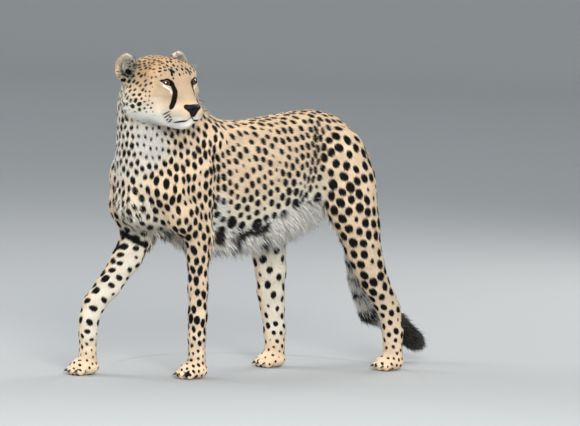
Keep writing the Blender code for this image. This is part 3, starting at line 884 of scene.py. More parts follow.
def ground_tone(points, normals, part):
    """The coat's colour between the markings: tan above, deeper on the spine and crown,
    through cream on the lower sides to white on belly, throat, chin and inner legs.
    The greyish brisket, the darker bridge and the darkening towards the muzzle's tip are
    partly painted shade. Each layer is laid over those before it by its share."""
    up, low, above = normals[:, 2], points[:, 2], over_belly(points)
    inward = -np.sign(points[:, 0]) * normals[:, 0]
    trunk = part["trunk"] + part["chest"] + part["neck"]
    legs = sum(part[limb] for limb in LIMBS)
    front = ramp(-normals[:, 1], -0.10, 0.60) * (part["chest"] + part["neck"])
    armpit, _ = path_distance(on_left(points), ARMPIT)
    throat, _ = path_distance(points, THROAT)
    gone, tail, pale = tail_gone(points), part["tail"], (CREAM + WHITE) / 2
    near, facing, head = head_near(points), normals @ HEAD_TURN, part["head"]
    aside, behind, height = np.abs(near[:, 0]), near[:, 1], near[:, 2]
    below = ramp(height + 0.25 * (behind + 0.10), -0.046, -0.066) * ramp(behind, -0.108, -0.085)
    below = np.maximum(below, ramp(height - lip_height(near), 0.003, -0.001) * (behind < -0.075))
    # Cream on the muzzle, darker towards its tip: partly its own tone and partly painted shade
    # against the key light.
    muzzle_cream_and_shade = CREAM * (0.92 - 0.32 * ramp(behind, -0.075, -0.105))[:, None]
    ear_grey = EAR_GREY * (1 - 0.3 * (wavering(points, 0.006, 7) > 0.2))[:, None]
    layers = [
        (DEEP_TAN, 0.55 * trunk * ramp(up, 0.35, 0.95)),
        (CREAM, ramp(above, 0.170, 0.050) * trunk),
        (WHITE, ramp(above, 0.062, 0.030) * trunk),
        (pale, 0.9 * front),
        (WHITE, 0.9 * ramp(armpit, 0.034, 0.016) * part["trunk"]),
        (WHITE * 0.86, 0.9 * ramp(throat, 0.055, 0.028) * (1 - head)),
        # The brisket under the chest: partly the coat's own greyish brown and partly painted shade
        # between the forelegs.
        (BRISKET_AND_SHADE, 0.7 * ramp(points[:, 1], -0.18, -0.24) * ramp(above, 0.070, 0.020) * trunk),
        (CREAM, 0.25 * legs * ramp(low, 0.45, 0.15)),
        (pale, 0.85 * legs * ramp(inward, 0.10, 0.60) * ramp(low, 0.06, 0.12)),
        (DEEP_TAN, 0.30 * legs * ramp(low, 0.10, 0.02)),
        (CREAM, 0.8 * tail * ramp(-normals[:, 1] - 0.3 * up, 0.1, 0.8) * ramp(gone, 0.75, 0.55)),
        (WHITE * 0.88, tail * ramp(gone, 0.34, 0.46)),
        (FACE_TAN, head),
        (CROWN_TAN, 0.85 * head * ramp(height, 0.010, 0.050) * ramp(behind, 0.08, 0.02)),
        # The bridge in front of the eyes is darker: partly the face's own deeper tan and partly
        # painted shade against the key light.
        (FACE_TAN * 0.74, head * ramp(behind, -0.060, -0.085) * ramp(height, -0.035, -0.010)),
        (muzzle_cream_and_shade, head * ramp(height - 0.2 * behind, 0.012, -0.035) * ramp(aside, 0.016, 0.038)),
        (WHITE * 0.90, head * below),
        (WHITE * 0.92, head * ramp(facing[:, 2], -0.2, -0.7) * ramp(height, 0.02, -0.02)),
    ]
    for side in (1, -1):
        _, lid, out = eye_near(near, side)
        under_lid = ramp(opening_distance(near, side), 0.0042, 0.0024)
        under_lid = under_lid * ramp(lid, 0.001, -0.003) * (out > 0)
        line, _ = path_distance(near, [mirrored(place, side) for place in EYE_LINE])
        ear = ear_near(near, side)
        inside = egg_distance(ear, EAR_HOLLOW_AT, (0.0285, 0.0190, 0.0335))
        on_ear = egg_distance(ear, (0, 0, 0), EAR_HALF) < 0.010
        edge = egg_distance(ear * (1, 0, 1), (0, 0, 0), (EAR_HALF[0], 1, EAR_HALF[2]))
        rim = ramp(np.abs(edge), 0.005, 0.002)
        layers += [
            (WHITE * 0.92, head * np.maximum(under_lid, ramp(line, 0.0028, 0.0014))),
            (ear_grey, head * (ramp(inside, 0.004, -0.002) * on_ear)),
            (CREAM * 0.95, 0.8 * head * rim * on_ear * ramp(ear[:, 2], 0.0, 0.015)),
        ]
    tone = np.broadcast_to(TAN, points.shape)
    for colour, share in layers:
        tone = mixed(tone, colour, share)
    return tone


def planned(rows, part, changes):
    """Each group's row of numbers, mixed by the places' shares of the groups, and then
    drawn towards other rows, one change after another."""
    plan = sum(np.outer(part[group], row) for group, row in rows.items())
    for share, row in changes:
        plan = mixed(plan, np.asarray(row), share)
    return plan


SPOT_ROWS = {  # spacing, half length, half width, down, back
    "trunk": (0.0270, 0.0100, 0.0074, 1.0, 0.40),
    "chest": (0.0245, 0.0100, 0.0066, 0.8, 0.3),
    "neck": (0.0225, 0.0090, 0.0058, 1.0, 0.1),
    "fore_left": (0.0272, 0.0125, 0.0074, 1.0, 0.05),
    "fore_right": (0.0310, 0.0128, 0.0088, 0.3, 1.0),
    "hind_left": (0.0330, 0.0148, 0.0112, 1.0, 0.55),
    "hind_right": (0.0370, 0.0128, 0.0098, 1.0, 0.1),
    "tail": (0.0230, 0.0082, 0.0052, 1.0, 0.0),
    "head": (0.0170, 0.0062, 0.0042, 0.4, 1.0),
}


def spot_plan(points, normals, part):
    """At each place: the spots' spacing, half length, half width, and how they are turned
    (the share of down and of back in their long axis)."""
    low, above, trunk, head = points[:, 2], over_belly(points), part["trunk"], part["head"]
    _, behind, height = head_near(points).T
    paws = (0.0190, 0.0048, 0.0036, 0.3, 0.2)
    changes = [
        (trunk * ramp(normals[:, 2], 0.55, 0.92), (0.0230, 0.0104, 0.0060, 0.6, 1.0)),    # back
        (trunk * ramp(above, 0.150, 0.060), (0.0300, 0.0104, 0.0094, 1.0, 0.5)),          # low flank
        (trunk * ramp(above, 0.052, 0.038), (0.0440, 0.0190, 0.0140, 1.0, 0.3)),          # belly
        ((1 - head) * fold_share(points), (0.0225, 0.0115, 0.0062, 1.0, 0.08)),
        (part["fore_left"] * ramp(low, 0.16, 0.06), paws),
        (part["fore_right"] * ramp(low, 0.16, 0.06), paws),
    ]
    for limb in ("hind_left", "hind_right"):
        changes += [
            (part[limb] * ramp(low, 0.28, 0.14), (0.0290, 0.0100, 0.0076, 0.7, 0.4)),     # hock
            (part[limb] * ramp(low, 0.12, 0.05), paws),
        ]
    jowl = head * ramp(height, 0.000, -0.035) * ramp(behind, -0.050, -0.02)
    cheek = head * ramp(behind, -0.036, -0.052) * ramp(height, 0.020, 0.005)
    changes += [
        (head * ramp(height, 0.024, 0.044), (0.0140, 0.0052, 0.0034, 0.3, 1.0)),          # crown
        (jowl, (0.0195, 0.0080, 0.0060, 0.4, 1.0)),
        (cheek, (0.0130, 0.0034, 0.0026, 0.4, 1.0)),
    ]
    return planned(SPOT_ROWS, part, changes)


def spot_presence(points, normals, part):
    """How large the spots grow here, from 0 (none) to 1: none on the muzzle, the throat's
    middle, in the ears, round the eyes and on the tail's last stretch; few on inner legs."""
    near, head = head_near(points), part["head"]
    inward = -np.sign(points[:, 0]) * normals[:, 0]
    legs = sum(part[limb] for limb in LIMBS)
    throat, _ = path_distance(points, THROAT)
    eyes = [np.linalg.norm(near - mirrored(EYE_AT, side), axis=1) for side in (1, -1)]
    shown = np.ones(len(points))
    for lost in (
        0.15 * legs * ramp(inward, 0.35, 0.75),
        0.45 * (1 - head) * ramp(throat, 0.060, 0.030),
        head * ramp(near[:, 1], -0.062, -0.076) * ramp(near[:, 2], 0.046, 0.036),
        0.9 * head * ramp(normals @ HEAD_TURN[:, 2], -0.35, -0.7),
        head * ramp(np.minimum(*eyes), 0.029, 0.023),
        head * ((np.abs(near[:, 0]) > 0.066) & (near[:, 2] > 0.040)),
        part["tail"] * ramp(tail_gone(points), 0.42, 0.50),
        0.9 * part["trunk"] * ramp(-normals[:, 2], 0.80, 0.95),
    ):
        shown *= 1 - lost
    return shown


def triangle_areas(points, triangles):
    """The area of every triangle."""
    a, b, c = (points[triangles[:, k]] for k in range(3))
    return np.linalg.norm(np.cross(b - a, c - a), axis=1) / 2


def corner_shares(u, v):
    """A place inside a triangle as shares of its corners, from two numbers between 0 and 1;
    where they come to more than 1 both are folded back."""
    over = u + v > 1
    u[over], v[over] = 1 - u[over], 1 - v[over]
    return np.stack([1 - u - v, u, v], 1)


def corner_mix(values, triangles, face, shares):
    """Values kept at points, mixed for places inside the triangles."""
    corners = values[triangles[face]]
    return (corners * (shares if values.ndim == 1 else shares[:, :, None])).sum(1)


def surface_scatter(points, normals, triangles, weight, count, seed):
    """Places spread at random over the triangles, in proportion to area times weight, their
    normals, and the sum of area times weight."""
    rng = np.random.default_rng(seed)
    weights = triangle_areas(points, triangles) * weight[triangles].mean(1)
    chance = np.cumsum(weights)
    face = np.searchsorted(chance, rng.random(count) * chance[-1]).clip(0, len(triangles) - 1)
    shares = corner_shares(*rng.random((2, count)))
    places, ways = (corner_mix(values, triangles, face, shares) for values in (points, normals))
    return places, unit(ways), weights.sum()


SAMPLES, PACKING = 45000, 0.95
THICKNESS = 0.012                 # metres that a place facing another way counts as further


def even_places(points, normals, triangles, spacing, seed, rounds=16):
    """Centres spread evenly, this far apart: a random choice of places is moved again and
    again to the middle of the places nearest to each."""
    samples, facing, total = surface_scatter(
        points, normals, triangles, 1 / spacing**2, SAMPLES, seed)
    count = int(total / PACKING)
    rng = np.random.default_rng(seed + 1)
    chosen = rng.choice(len(samples), count, replace=False)
    # A place counts as further where it faces the other way, as through a leg or an ear.
    where = np.concatenate([samples, facing * THICKNESS], 1).astype(np.float32)
    centres = where[chosen]
    for _ in range(rounds):
        nearest = nearest_of(where, centres)
        hits = np.bincount(nearest, minlength=count).astype(float)
        moved = np.stack([np.bincount(nearest, where[:, k], count) for k in range(6)], 1)
        middle = moved / np.maximum(hits, 1)[:, None]
        centres = np.where(hits[:, None] > 0, middle, centres).astype(np.float32)
    back_to = nearest_of(centres, where)
    return samples[back_to], facing[back_to]


def spread_apart(at, out, long, half, spacing, rounds=90, reach=0.06):
    """Pushes spots apart where they crowd.  Distance is counted in widths, so that long
    spots keep further apart end to end, and each spot is drawn back onto the skin."""
    a, b = np.nonzero(np.abs(at[None, :, 1] - at[:, None, 1]) < reach)
    close = (a < b) & (np.linalg.norm(at[a] - at[b], axis=1) < reach)
    close &= (out[a] * out[b]).sum(1) > 0.2
    a, b = a[close], b[close]
    flat = (half[a, 1] + half[b, 1]) / (half[a, 0] + half[b, 0])
    wanted = PACKING * np.sqrt(flat) * (spacing[a] + spacing[b]) / 2
    wanted = np.maximum(wanted, 1.2 * (half[a, 1] + half[b, 1]))
    axis = unit(long[a] + long[b] * np.sign((long[a] * long[b]).sum(1))[:, None])
    for _ in range(rounds):
        off = at[b] - at[a]
        along = (off * axis).sum(1)
        gauge = np.linalg.norm(off - axis * (along * (1 - flat))[:, None], axis=1)
        push = unit(off) * ((wanted - gauge).clip(0) * 0.3)[:, None]
        for k in range(3):
            at[:, k] += np.bincount(b, push[:, k], len(at)) - np.bincount(a, push[:, k], len(at))
        at -= out * near_flesh(at).clip(-0.01, 0.01)[:, None]
    return at


def near_flesh(points):
    """The flesh distance read off the grid, mixed between its eight nearest corners."""
    at = ((points - GRID_LOW) / GRID).clip(0, np.array(flesh.shape) - 1.001)
    low = at.astype(int)
    past = at - low
    total = np.zeros(len(points))
    for corner in np.ndindex(2, 2, 2):
        share = np.prod(np.where(corner, past, 1 - past), 1)
        total += share * flesh[tuple((low + corner).T)]
    return total


def nearest_of(points, centres, block=4000):
    """The index of the centre nearest to each point, by squared distances in blocks."""
    found = np.empty(len(points), int)
    square = (centres**2).sum(1)
    for i in range(0, len(points), block):
        found[i : i + block] = (square - 2 * points[i : i + block] @ centres.T).argmin(1)
    return found


def wavering(points, scale, seed):
    """A smooth value between -1 and 1 that wanders over about this length."""
    rng = np.random.default_rng(seed)
    ways = unit(rng.normal(size=(5, 3))) / scale * 2.6
    return np.sin(points @ ways.T + rng.random(5) * 6.28).mean(1) * 1.8


skin_points, skin_normals, skin_triangles = mesh_arrays(skin.data)
skin_places = skin_points - STAND_AT
skin_part, skin_lie = body_map(skin_places, skin_normals)
skin_spacing = spot_plan(skin_places, skin_normals, skin_part)[:, 0]
spot_at, spot_out = even_places(skin_places, skin_normals, skin_triangles, skin_spacing, 11)
spot_part, _ = body_map(spot_at, spot_out)
plan = spot_plan(spot_at, spot_out, spot_part)
rng = np.random.default_rng(5)
# Spots lie along the row's own way, and on the head they stream back from the nose.
spot_long = np.stack([0 * plan[:, 0], plan[:, 4], -plan[:, 3]], 1)
beside = ramp(np.abs(head_near(spot_at)[:, 0]), 0.020, 0.045)
head_long = mixed(np.array((0, 0.3, 1.0)) + 0 * spot_at, np.array((0, -1.0, 0.9)), beside)
spot_long = mixed(spot_long, head_long @ HEAD_TURN.T, spot_part["head"])
spot_long = spun(laid_flat(spot_long, spot_out), spot_out, rng.normal(0, 0.20, len(spot_at))[:, None])
grown = spot_presence(spot_at, spot_out, spot_part) * rng.uniform(0.84, 1.12, len(spot_at))
grown = np.where(rng.random(len(grown)) < 0.10, 0.5, 1.0) * grown
spot_half = plan[:, 1:3] * grown[:, None] * rng.uniform(0.92, 1.08, (len(spot_at), 2))
roomy_half = plan[:, 1:3] * rng.uniform(0.9, 1.1, (len(spot_at), 1))
spot_at = spread_apart(spot_at, spot_out, spot_long, roomy_half, plan[:, 0])
kept = grown > 0.25
spot_at, spot_out, spot_long, spot_half = (
    rows[kept] for rows in (spot_at, spot_out, spot_long, spot_half))

LINES = (  # black lines on both sides of the face: path, half width at its start and end
    (TEAR, 0.0050, 0.0082),
    (BROW_STREAK, 0.0040, 0.0032),
)
WHISKER_STREAKS = (  # dark rows across the whisker pads, seen from the side: back and up
    ((-0.0870, -0.0570), (-0.1140, -0.0440)),
    ((-0.0880, -0.0640), (-0.1155, -0.0510)),
    ((-0.0905, -0.0700), (-0.1160, -0.0580)),
    ((-0.0950, -0.0745), (-0.1150, -0.0648)),
)
EAR_FOLD_SHADE = (  # painted shade: a black line down the fold inside each ear's root
    (-0.017, -0.005, -0.044), (-0.010, -0.003, -0.026), (-0.002, 0.000, -0.011),
)
LEG_BARS = (  # dark bars across the inside of the raised forearm
    ((-0.104, -0.336, 0.388), (-0.080, -0.338, 0.392),
     (-0.050, -0.317, 0.372), (-0.046, -0.276, 0.356)),
    ((-0.090, -0.350, 0.345), (-0.070, -0.340, 0.352)),
)


SPOT_REACH, SPOT_DEPTH = 0.024, 0.016   # how far a spot can reach over the skin, and into it
STREAK_HALF, BAR_HALF, LIP_HALF = 0.0015, 0.0085, 0.0017   # half widths
CLEAR = 0.02                      # a distance that counts as far from every marking


def spot_distance(points):
    """Metres to the edge of the nearest spot, an oval on the surface."""
    best = np.full(len(points), CLEAR)
    order = np.argsort(points[:, 1])
    along = points[order, 1]
    for at, out, long, half in zip(spot_at, spot_out, spot_long, spot_half):
        i, j = np.searchsorted(along, (at[1] - SPOT_REACH, at[1] + SPOT_REACH))
        rows = order[i:j]
        off = points[rows] - at
        close = np.abs(off).max(1) < SPOT_REACH
        rows, off = rows[close], off[close]
        size = (off @ long / half[0]) ** 2 + (off @ np.cross(out, long) / half[1]) ** 2
        size = np.sqrt(size + (off @ out / SPOT_DEPTH) ** 2)
        best[rows] = np.minimum(best[rows], (size - 1) * math.sqrt(half[0] * half[1]))
    return best


def tail_marks(points):
    """Metres to the nearest ring of the tail, or to its black end."""
    gone = tail_gone(points)
    ring = 0.030 - np.abs((gone * 14.0 + 0.25 * wavering(points, 0.03, 8)) % 1.0 - 0.5) * 0.075
    ring = -ring + 0.0165 + 0.006 * wavering(points, 0.02, 9)
    ring = np.where((gone > 0.46) & (gone < 0.72), ring, CLEAR)
    ring = np.minimum(ring, (np.abs(gone - 0.765) - 0.022) * 0.75)
    return np.minimum(ring, np.where(gone >= 0.845, -0.005, CLEAR))


def marking_distance(points, part):
    """Metres to the edge of the nearest black marking, negative inside it: spots, lines
    along paths, the eyes' rims, the ears' backs, the lips and the tail's rings. The black
    inside the ears' roots is painted shade, and so is part of the upper lids' rim."""
    best = spot_distance(points) + (0.0007 * wavering(points, 0.006, 3) - 0.0006 * (1 - part["head"]))
    near, head = head_near(points), part["head"] > 0.5
    aside, behind, height = np.abs(near[:, 0]), near[:, 1], near[:, 2]
    marks = []
    for side in (1, -1):
        for path, half, last_half in LINES:
            off, gone = path_distance(near, [mirrored(place, side) for place in path])
            marks.append((head, off - half - (last_half - half) * (gone / gone.max())))
        temple, lid, out = eye_near(near, side)
        # The lids' black rim, thickened along the upper lid and at the corners; the upper lid's
        # thicker band is partly its own black and partly painted shade under the brow.
        rim = 0.0016 + 0.0030 * ramp(lid, 0.001, 0.005) * ramp(temple, 0.014, 0.0)
        rim = rim + 0.0022 * ramp(temple, -0.006, -0.013)
        rim += 0.0026 * ramp(temple, 0.010, 0.016) * ramp(lid, -0.006, 0.002)
        marks.append((head & (out > 0), opening_distance(near, side) - rim))
        ear = ear_near(near, side)
        back = np.maximum(0.006 - ear[:, 1], np.abs(ear[:, 0]) - 0.026)
        back = np.maximum(np.abs(ear[:, 2] - 0.004) - 0.0150, back)
        # Painted shade low in each ear's hollow: a black line along its fold and a black dot by its
        # root.
        root = path_distance(ear, [mirrored(place, side) for place in EAR_FOLD_SHADE])[0] - 0.0070
        root = np.minimum(root, np.linalg.norm(ear - (0.025 * side, -0.004, -0.018), axis=1) - 0.0045)
        on_ear = egg_distance(ear, (0, 0, 0), EAR_HALF) < 0.012
        marks.append((head & on_ear, np.minimum(back, root)))
    for ends in WHISKER_STREAKS:
        off, _ = path_distance(near * (0, 1, 1), [(0, *end) for end in ends])
        marks.append((head & (aside > 0.025), off - STREAK_HALF))
    for path in LEG_BARS:
        marks.append((part["fore_right"] > 0.3, path_distance(points, path)[0] - BAR_HALF))
    strip = np.maximum(aside - 0.0016, np.abs(height + 0.050) - 0.010)
    marks += [
        (head & (behind < -0.112), np.abs(height - lip_height(near)) - LIP_HALF),
        (head & (behind < -0.12), strip),
        (part["tail"] > 0.5, tail_marks(points)),
    ]
    for where, off in marks:
        best = np.where(where, np.minimum(best, off), best)
    return best


def attribute(mesh, name, values):
    """Stores a number or a colour for each point of a mesh."""
    values = np.asarray(values, np.float32)
    if values.ndim == 1:
        mesh.attributes.new(name, "FLOAT", "POINT").data.foreach_set("value", values)
    else:
        full = np.concatenate([values, np.ones((len(values), 1), np.float32)], 1)
        mesh.attributes.new(name, "FLOAT_COLOR", "POINT").data.foreach_set("color", full.ravel())


skin_mark = marking_distance(skin_places, skin_part)
skin_tone = ground_tone(skin_places, skin_normals, skin_part)
attribute(skin.data, "marking", skin_mark * 1000)
attribute(skin.data, "ground", skin_tone)

nodes, links = hide.node_tree.nodes, hide.node_tree.links
edge = nodes.new("ShaderNodeMapRange")
edge.interpolation_type = "SMOOTHSTEP"
edge.inputs["From Min"].default_value, edge.inputs["From Max"].default_value = -0.5, 0.7
inked = nodes.new("ShaderNodeMix")
inked.data_type = "RGBA"
inked.inputs["A"].default_value = (*BLACK, 1)
links.new(stored(hide, "marking").outputs["Fac"], edge.inputs["Value"])
links.new(edge.outputs["Result"], inked.inputs["Factor"])
links.new(stored(hide, "ground").outputs["Color"], inked.inputs["B"])
links.new(inked.outputs["Result"], hide_shader.inputs["Base Color"])
grained(hide, hide_shader, 520.0, 0.55, (0.60, 0.85), 0.0007)

# ---------------------------------------------------------------------------
# The coat: thin closed tufts that grow from the skin and lie along it, each
# carrying the skin's marking at its root.  One joined mesh for each region.
# ---------------------------------------------------------------------------
COAT_ROWS = {  # spacing of the tufts, length, width, height of the tip over the skin
    "trunk": (0.00250, 0.0098, 0.0021, 0.0028),
    "chest": (0.00245, 0.0112, 0.0021, 0.0034),
    "neck": (0.00235, 0.0105, 0.0020, 0.0034),
    "fore_left": (0.00225, 0.0085, 0.0018, 0.0022),
    "fore_right": (0.00225, 0.0085, 0.0018, 0.0022),
    "hind_left": (0.00245, 0.0100, 0.0020, 0.0026),
    "hind_right": (0.00245, 0.0100, 0.0020, 0.0026),
    "tail": (0.00215, 0.0130, 0.0020, 0.0060),
    "head": (0.00160, 0.0056, 0.0013, 0.0016),
}


def coat_plan(points, normals, part):
    """Spacing, length, width and tip height of the tufts at each place: longest on nape,
    chest and belly, shorter down the legs, and shortest on muzzle and feet."""
    up, low, trunk, head = normals[:, 2], points[:, 2], part["trunk"], part["head"]
    body = trunk + part["neck"] + part["chest"]
    legs = sum(part[limb] for limb in LIMBS)
    armpit, _ = path_distance(on_left(points), ARMPIT)
    near = head_near(points)
    return planned(COAT_ROWS, part, (
        (trunk * 0.7 * ramp(armpit, 0.034, 0.016), (0.0026, 0.016, 0.0022, 0.0045)),
        (body * ramp(over_belly(points), 0.050, 0.028), (0.0026, 0.016, 0.0024, 0.0050)),
        (part["neck"] * ramp(normals[:, 1], 0.3, 0.9), (0.0023, 0.018, 0.0022, 0.0062)),  # nape
        (legs * ramp(low, 0.30, 0.12), (0.0021, 0.0062, 0.0015, 0.0015)),
        (legs * ramp(low, 0.07, 0.03), (0.0019, 0.0040, 0.0013, 0.0009)),  # feet
        (part["tail"] * ramp(tail_gone(points), 0.50, 0.75), (0.0021, 0.021, 0.0024, 0.0110)),
        (head * ramp(near[:, 1], -0.045, -0.085), (0.00150, 0.0034, 0.0011, 0.0008)),  # face
        (head * ramp(near[:, 1], -0.10, -0.125), (0.00150, 0.0024, 0.0010, 0.0006)),  # muzzle
        (head * ramp(near[:, 1] - 0.8 * near[:, 2], 0.015, 0.060), (0.00190, 0.0100, 0.0018, 0.0034)),
        (head * by_ears(near), (0.00160, 0.0060, 0.0013, 0.0022)),
    ))


def skin_values(values, face, shares):
    """Values stored at the skin's points, mixed for places inside its triangles."""
    return corner_mix(values, skin_triangles, face, shares)


EVEN_STEPS = (0.7548777, 0.5698403)   # steps that fill a square evenly, however many there are


def grown_over(density, seed):
    """Places over the skin, this many to a square metre at each point of it: the whole
    number for each triangle, its remainder by chance, set out evenly inside it."""
    rng = np.random.default_rng(seed)
    wanted = triangle_areas(skin_places, skin_triangles) * density[skin_triangles].mean(1)
    count = np.floor(wanted + rng.random(len(wanted))).astype(int)
    face = np.repeat(np.arange(len(count)), count)
    turn = np.arange(len(face)) - np.repeat(np.cumsum(count) - count, count)
    start = rng.random((2, len(count)))[:, face]
    return face, corner_shares(*((start[k] + turn * EVEN_STEPS[k]) % 1 for k in (0, 1)))


RIDGE_AT, BLADE_FACES = 0.34, ((0, 1, 2), (1, 3, 2), (3, 0, 2), (0, 3, 1))


def blade_mesh(roots, normals, lie, length, width, height):
    """A closed four-sided blade at each root: two corners sunk in the skin, a ridge a
    third of the way along, and a point at the end that follows the skin's curve."""
    half = np.cross(normals, lie) * (width / 2)[:, None]
    sunk = roots - normals * 0.0004
    lifted = normals * (height * 0.30 + width * 0.30)[:, None]
    ridge = roots + lie * (length * RIDGE_AT)[:, None] + lifted
    tip = roots + lie * length[:, None] + normals * height[:, None]
    # The point is brought back to its height where the skin curves away or bulges.
    over = np.clip(near_flesh(tip) - height, -0.006, 0.006)
    tip -= normals * over[:, None]
    ridge -= normals * (0.25 * over)[:, None]
    points = np.stack([sunk - half, sunk + half, ridge, tip], 1).reshape(-1, 3)
    base = 4 * np.arange(len(roots))[:, None, None]
    return points, (base + np.array(BLADE_FACES)).reshape(-1, 3)


def unwrapped(region, points):
    """Where each place falls on its region's own unwrap, a sheet rolled off round the
    region's middle line: the angle about that line, and the way along it."""
    if region == "head":
        near = head_near(points)
        turn, along = np.arctan2(near[:, 0], near[:, 2] + 0.01), near[:, 1]
    elif region == "tail":
        path, along = np.array([place for place, _, _ in TAIL]), tail_gone(points)
        ways = np.concatenate([[0], np.cumsum(np.linalg.norm(np.diff(path, axis=0), axis=1))])
        off = points - np.stack([np.interp(along * ways[-1], ways, path[:, k]) for k in range(3)], 1)
        turn = np.arctan2(off[:, 0], off[:, 1] - off[:, 2])
    elif region in LIMBS:
        path = np.array([place for place, _, _ in LIMBS[region]])[::-1]
        middle = [np.interp(points[:, 2], path[:, 2], path[:, k]) for k in (0, 1)]
        turn, along = np.arctan2(points[:, 0] - middle[0], points[:, 1] - middle[1]), points[:, 2]
    elif region == "neck":
        middle = np.interp(points[:, 2], (0.40, 0.60, 0.78), (-0.27, -0.25, -0.32))
        turn, along = np.arctan2(points[:, 0], middle - points[:, 1]), points[:, 2]
    else:
        turn, along = np.arctan2(points[:, 0], points[:, 2] - 0.54), points[:, 1]
    place = np.stack([turn, along], 1)
    low, high = place.min(0), place.max(0)
    return 0.004 + 0.992 * (place - low) / (high - low)


PATCH = 0.003                      # each tuft's patch on the unwrap


def bake_map(mesh, sheet, corners):
    """The map OFBake: a small patch for every tuft at its root's place on the unwrap."""
    spread = (sheet[:, None, :] + PATCH * np.asarray(corners)[None]).reshape(-1, 2)
    vertex = np.empty(len(mesh.loops), np.int32)
    mesh.loops.foreach_get("vertex_index", vertex)
    layer = mesh.uv_layers.new(name="OFBake")
    layer.uv.foreach_set("vector", spread[vertex].astype(np.float32).ravel())


BLADE_PATCH = ((-0.5, -0.5), (0.5, -0.5), (0.0, 0.0), (0.0, 0.5))
coat_finish, coat_shader = shader_of(
    "coat_hair", (0.6, 0.4, 0.22), 0.62,
    Specular_IOR_Level=0.10, Sheen_Weight=0.03, Sheen_Roughness=0.5)
grained(coat_finish, coat_shader, 700.0, 0.15, (0.52, 0.74))
hair_colour = stored(coat_finish, "hair").outputs["Color"]
coat_finish.node_tree.links.new(hair_colour, coat_shader.inputs["Base Color"])

# No tufts grow inside the lids, under the nose pad or on the soles.
skin_coat = coat_plan(skin_places, skin_normals, skin_part)
near_skin = head_near(skin_places)
eyes_open = np.minimum(*(opening_distance(near_skin, side) for side in (1, -1)))
bald = (skin_part["head"] > 0.5) & (eyes_open < 0.0012) & (near_skin[:, 1] < -0.05)
bald |= np.linalg.norm((near_skin - NOSE_AT) / (1.38, 1.0, 1.05), axis=1) < 0.0155
bald |= skin_places[:, 2] < 0.003
density = np.where(bald, 0, 1 / skin_coat[:, 0] ** 2)
face, shares = grown_over(density, 21)
part_rows = np.stack([skin_part[group] for group in GROUPS], 1)
root_at, root_out, root_lie, root_coat, root_tone, root_rows = (
    skin_values(values, face, shares)
    for values in (skin_places, skin_normals, skin_lie, skin_coat, skin_tone, part_rows)
)
root_out, root_part = unit(root_out), dict(zip(GROUPS, root_rows.T))
rng = np.random.default_rng(33)
stray = rng.normal(0, 0.16, len(root_at))[:, None]
root_lie = spun(laid_flat(root_lie, root_out), root_out, stray)
shade = rng.normal(1.0, 0.07, len(root_at))[:, None] + 0.10 * wavering(root_at, 0.02, 4)[:, None]
root_colour = root_tone * shade.clip(0.7, 1.25)
long = root_coat[:, 1] * rng.uniform(0.75, 1.2, len(root_at))
wide = root_coat[:, 2] * rng.uniform(0.8, 1.2, len(root_at))
high = root_coat[:, 3] * rng.uniform(0.5, 1.5, len(root_at))
# A tuft takes the skin's markings where its root half and its tip half lie.
root_ink, tip_ink = (
    ramp(marking_distance(root_at + root_lie * (long * way)[:, None], root_part), 0.0006, -0.0005)
    for way in (0.15, 0.70)
)
strongest = np.array(GROUPS)[root_rows.argmax(1)]
region = np.where(strongest == "chest", "neck", strongest)
trunk_side = np.where(root_at[:, 0] > 0, "trunk_left", "trunk_right")
region = np.where(region == "trunk", trunk_side, region)


def coat_piece(name, sheet, points, faces, colours, corners):
    """A finished coat mesh with its colours and its map, riding with the body."""
    piece = mesh_piece(name, points, faces, coat_finish)
    attribute(piece.data, "hair", colours.clip(0, 1))
    bake_map(piece.data, sheet, corners)
    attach(piece, "root")


for name in sorted(set(region)):
    rows = np.nonzero(region == name)[0]
    blades = blade_mesh(*(values[rows] for values in (root_at, root_out, root_lie, long, wide, high)))
    # Each tuft is darker at its sunk root and paler at its tip: partly the hair's own tone and partly
    # painted shade deep in the coat and painted light on the tips.
    root = mixed(root_colour[rows], BLACK, root_ink[rows])
    tip = mixed(root_colour[rows] * 1.16, BLACK, tip_ink[rows])
    colours = np.stack([root * 0.88, root * 0.88, (root + tip) / 2, tip], 1).reshape(-1, 3)
    coat_piece("coat_" + name, unwrapped(name, root_at[rows]), *blades, colours, BLADE_PATCH)

# ---------------------------------------------------------------------------
# Long hair: locks that hang from the belly, ruff the throat and cheeks, stand
# on the nape, trail behind the thighs and fill the tail's end and the ears.
# ---------------------------------------------------------------------------
LOCK_RINGS = np.array((0.0, 0.22, 0.48, 0.76))   # how far along a lock its rings stand
LOCK_CURL = 0.25


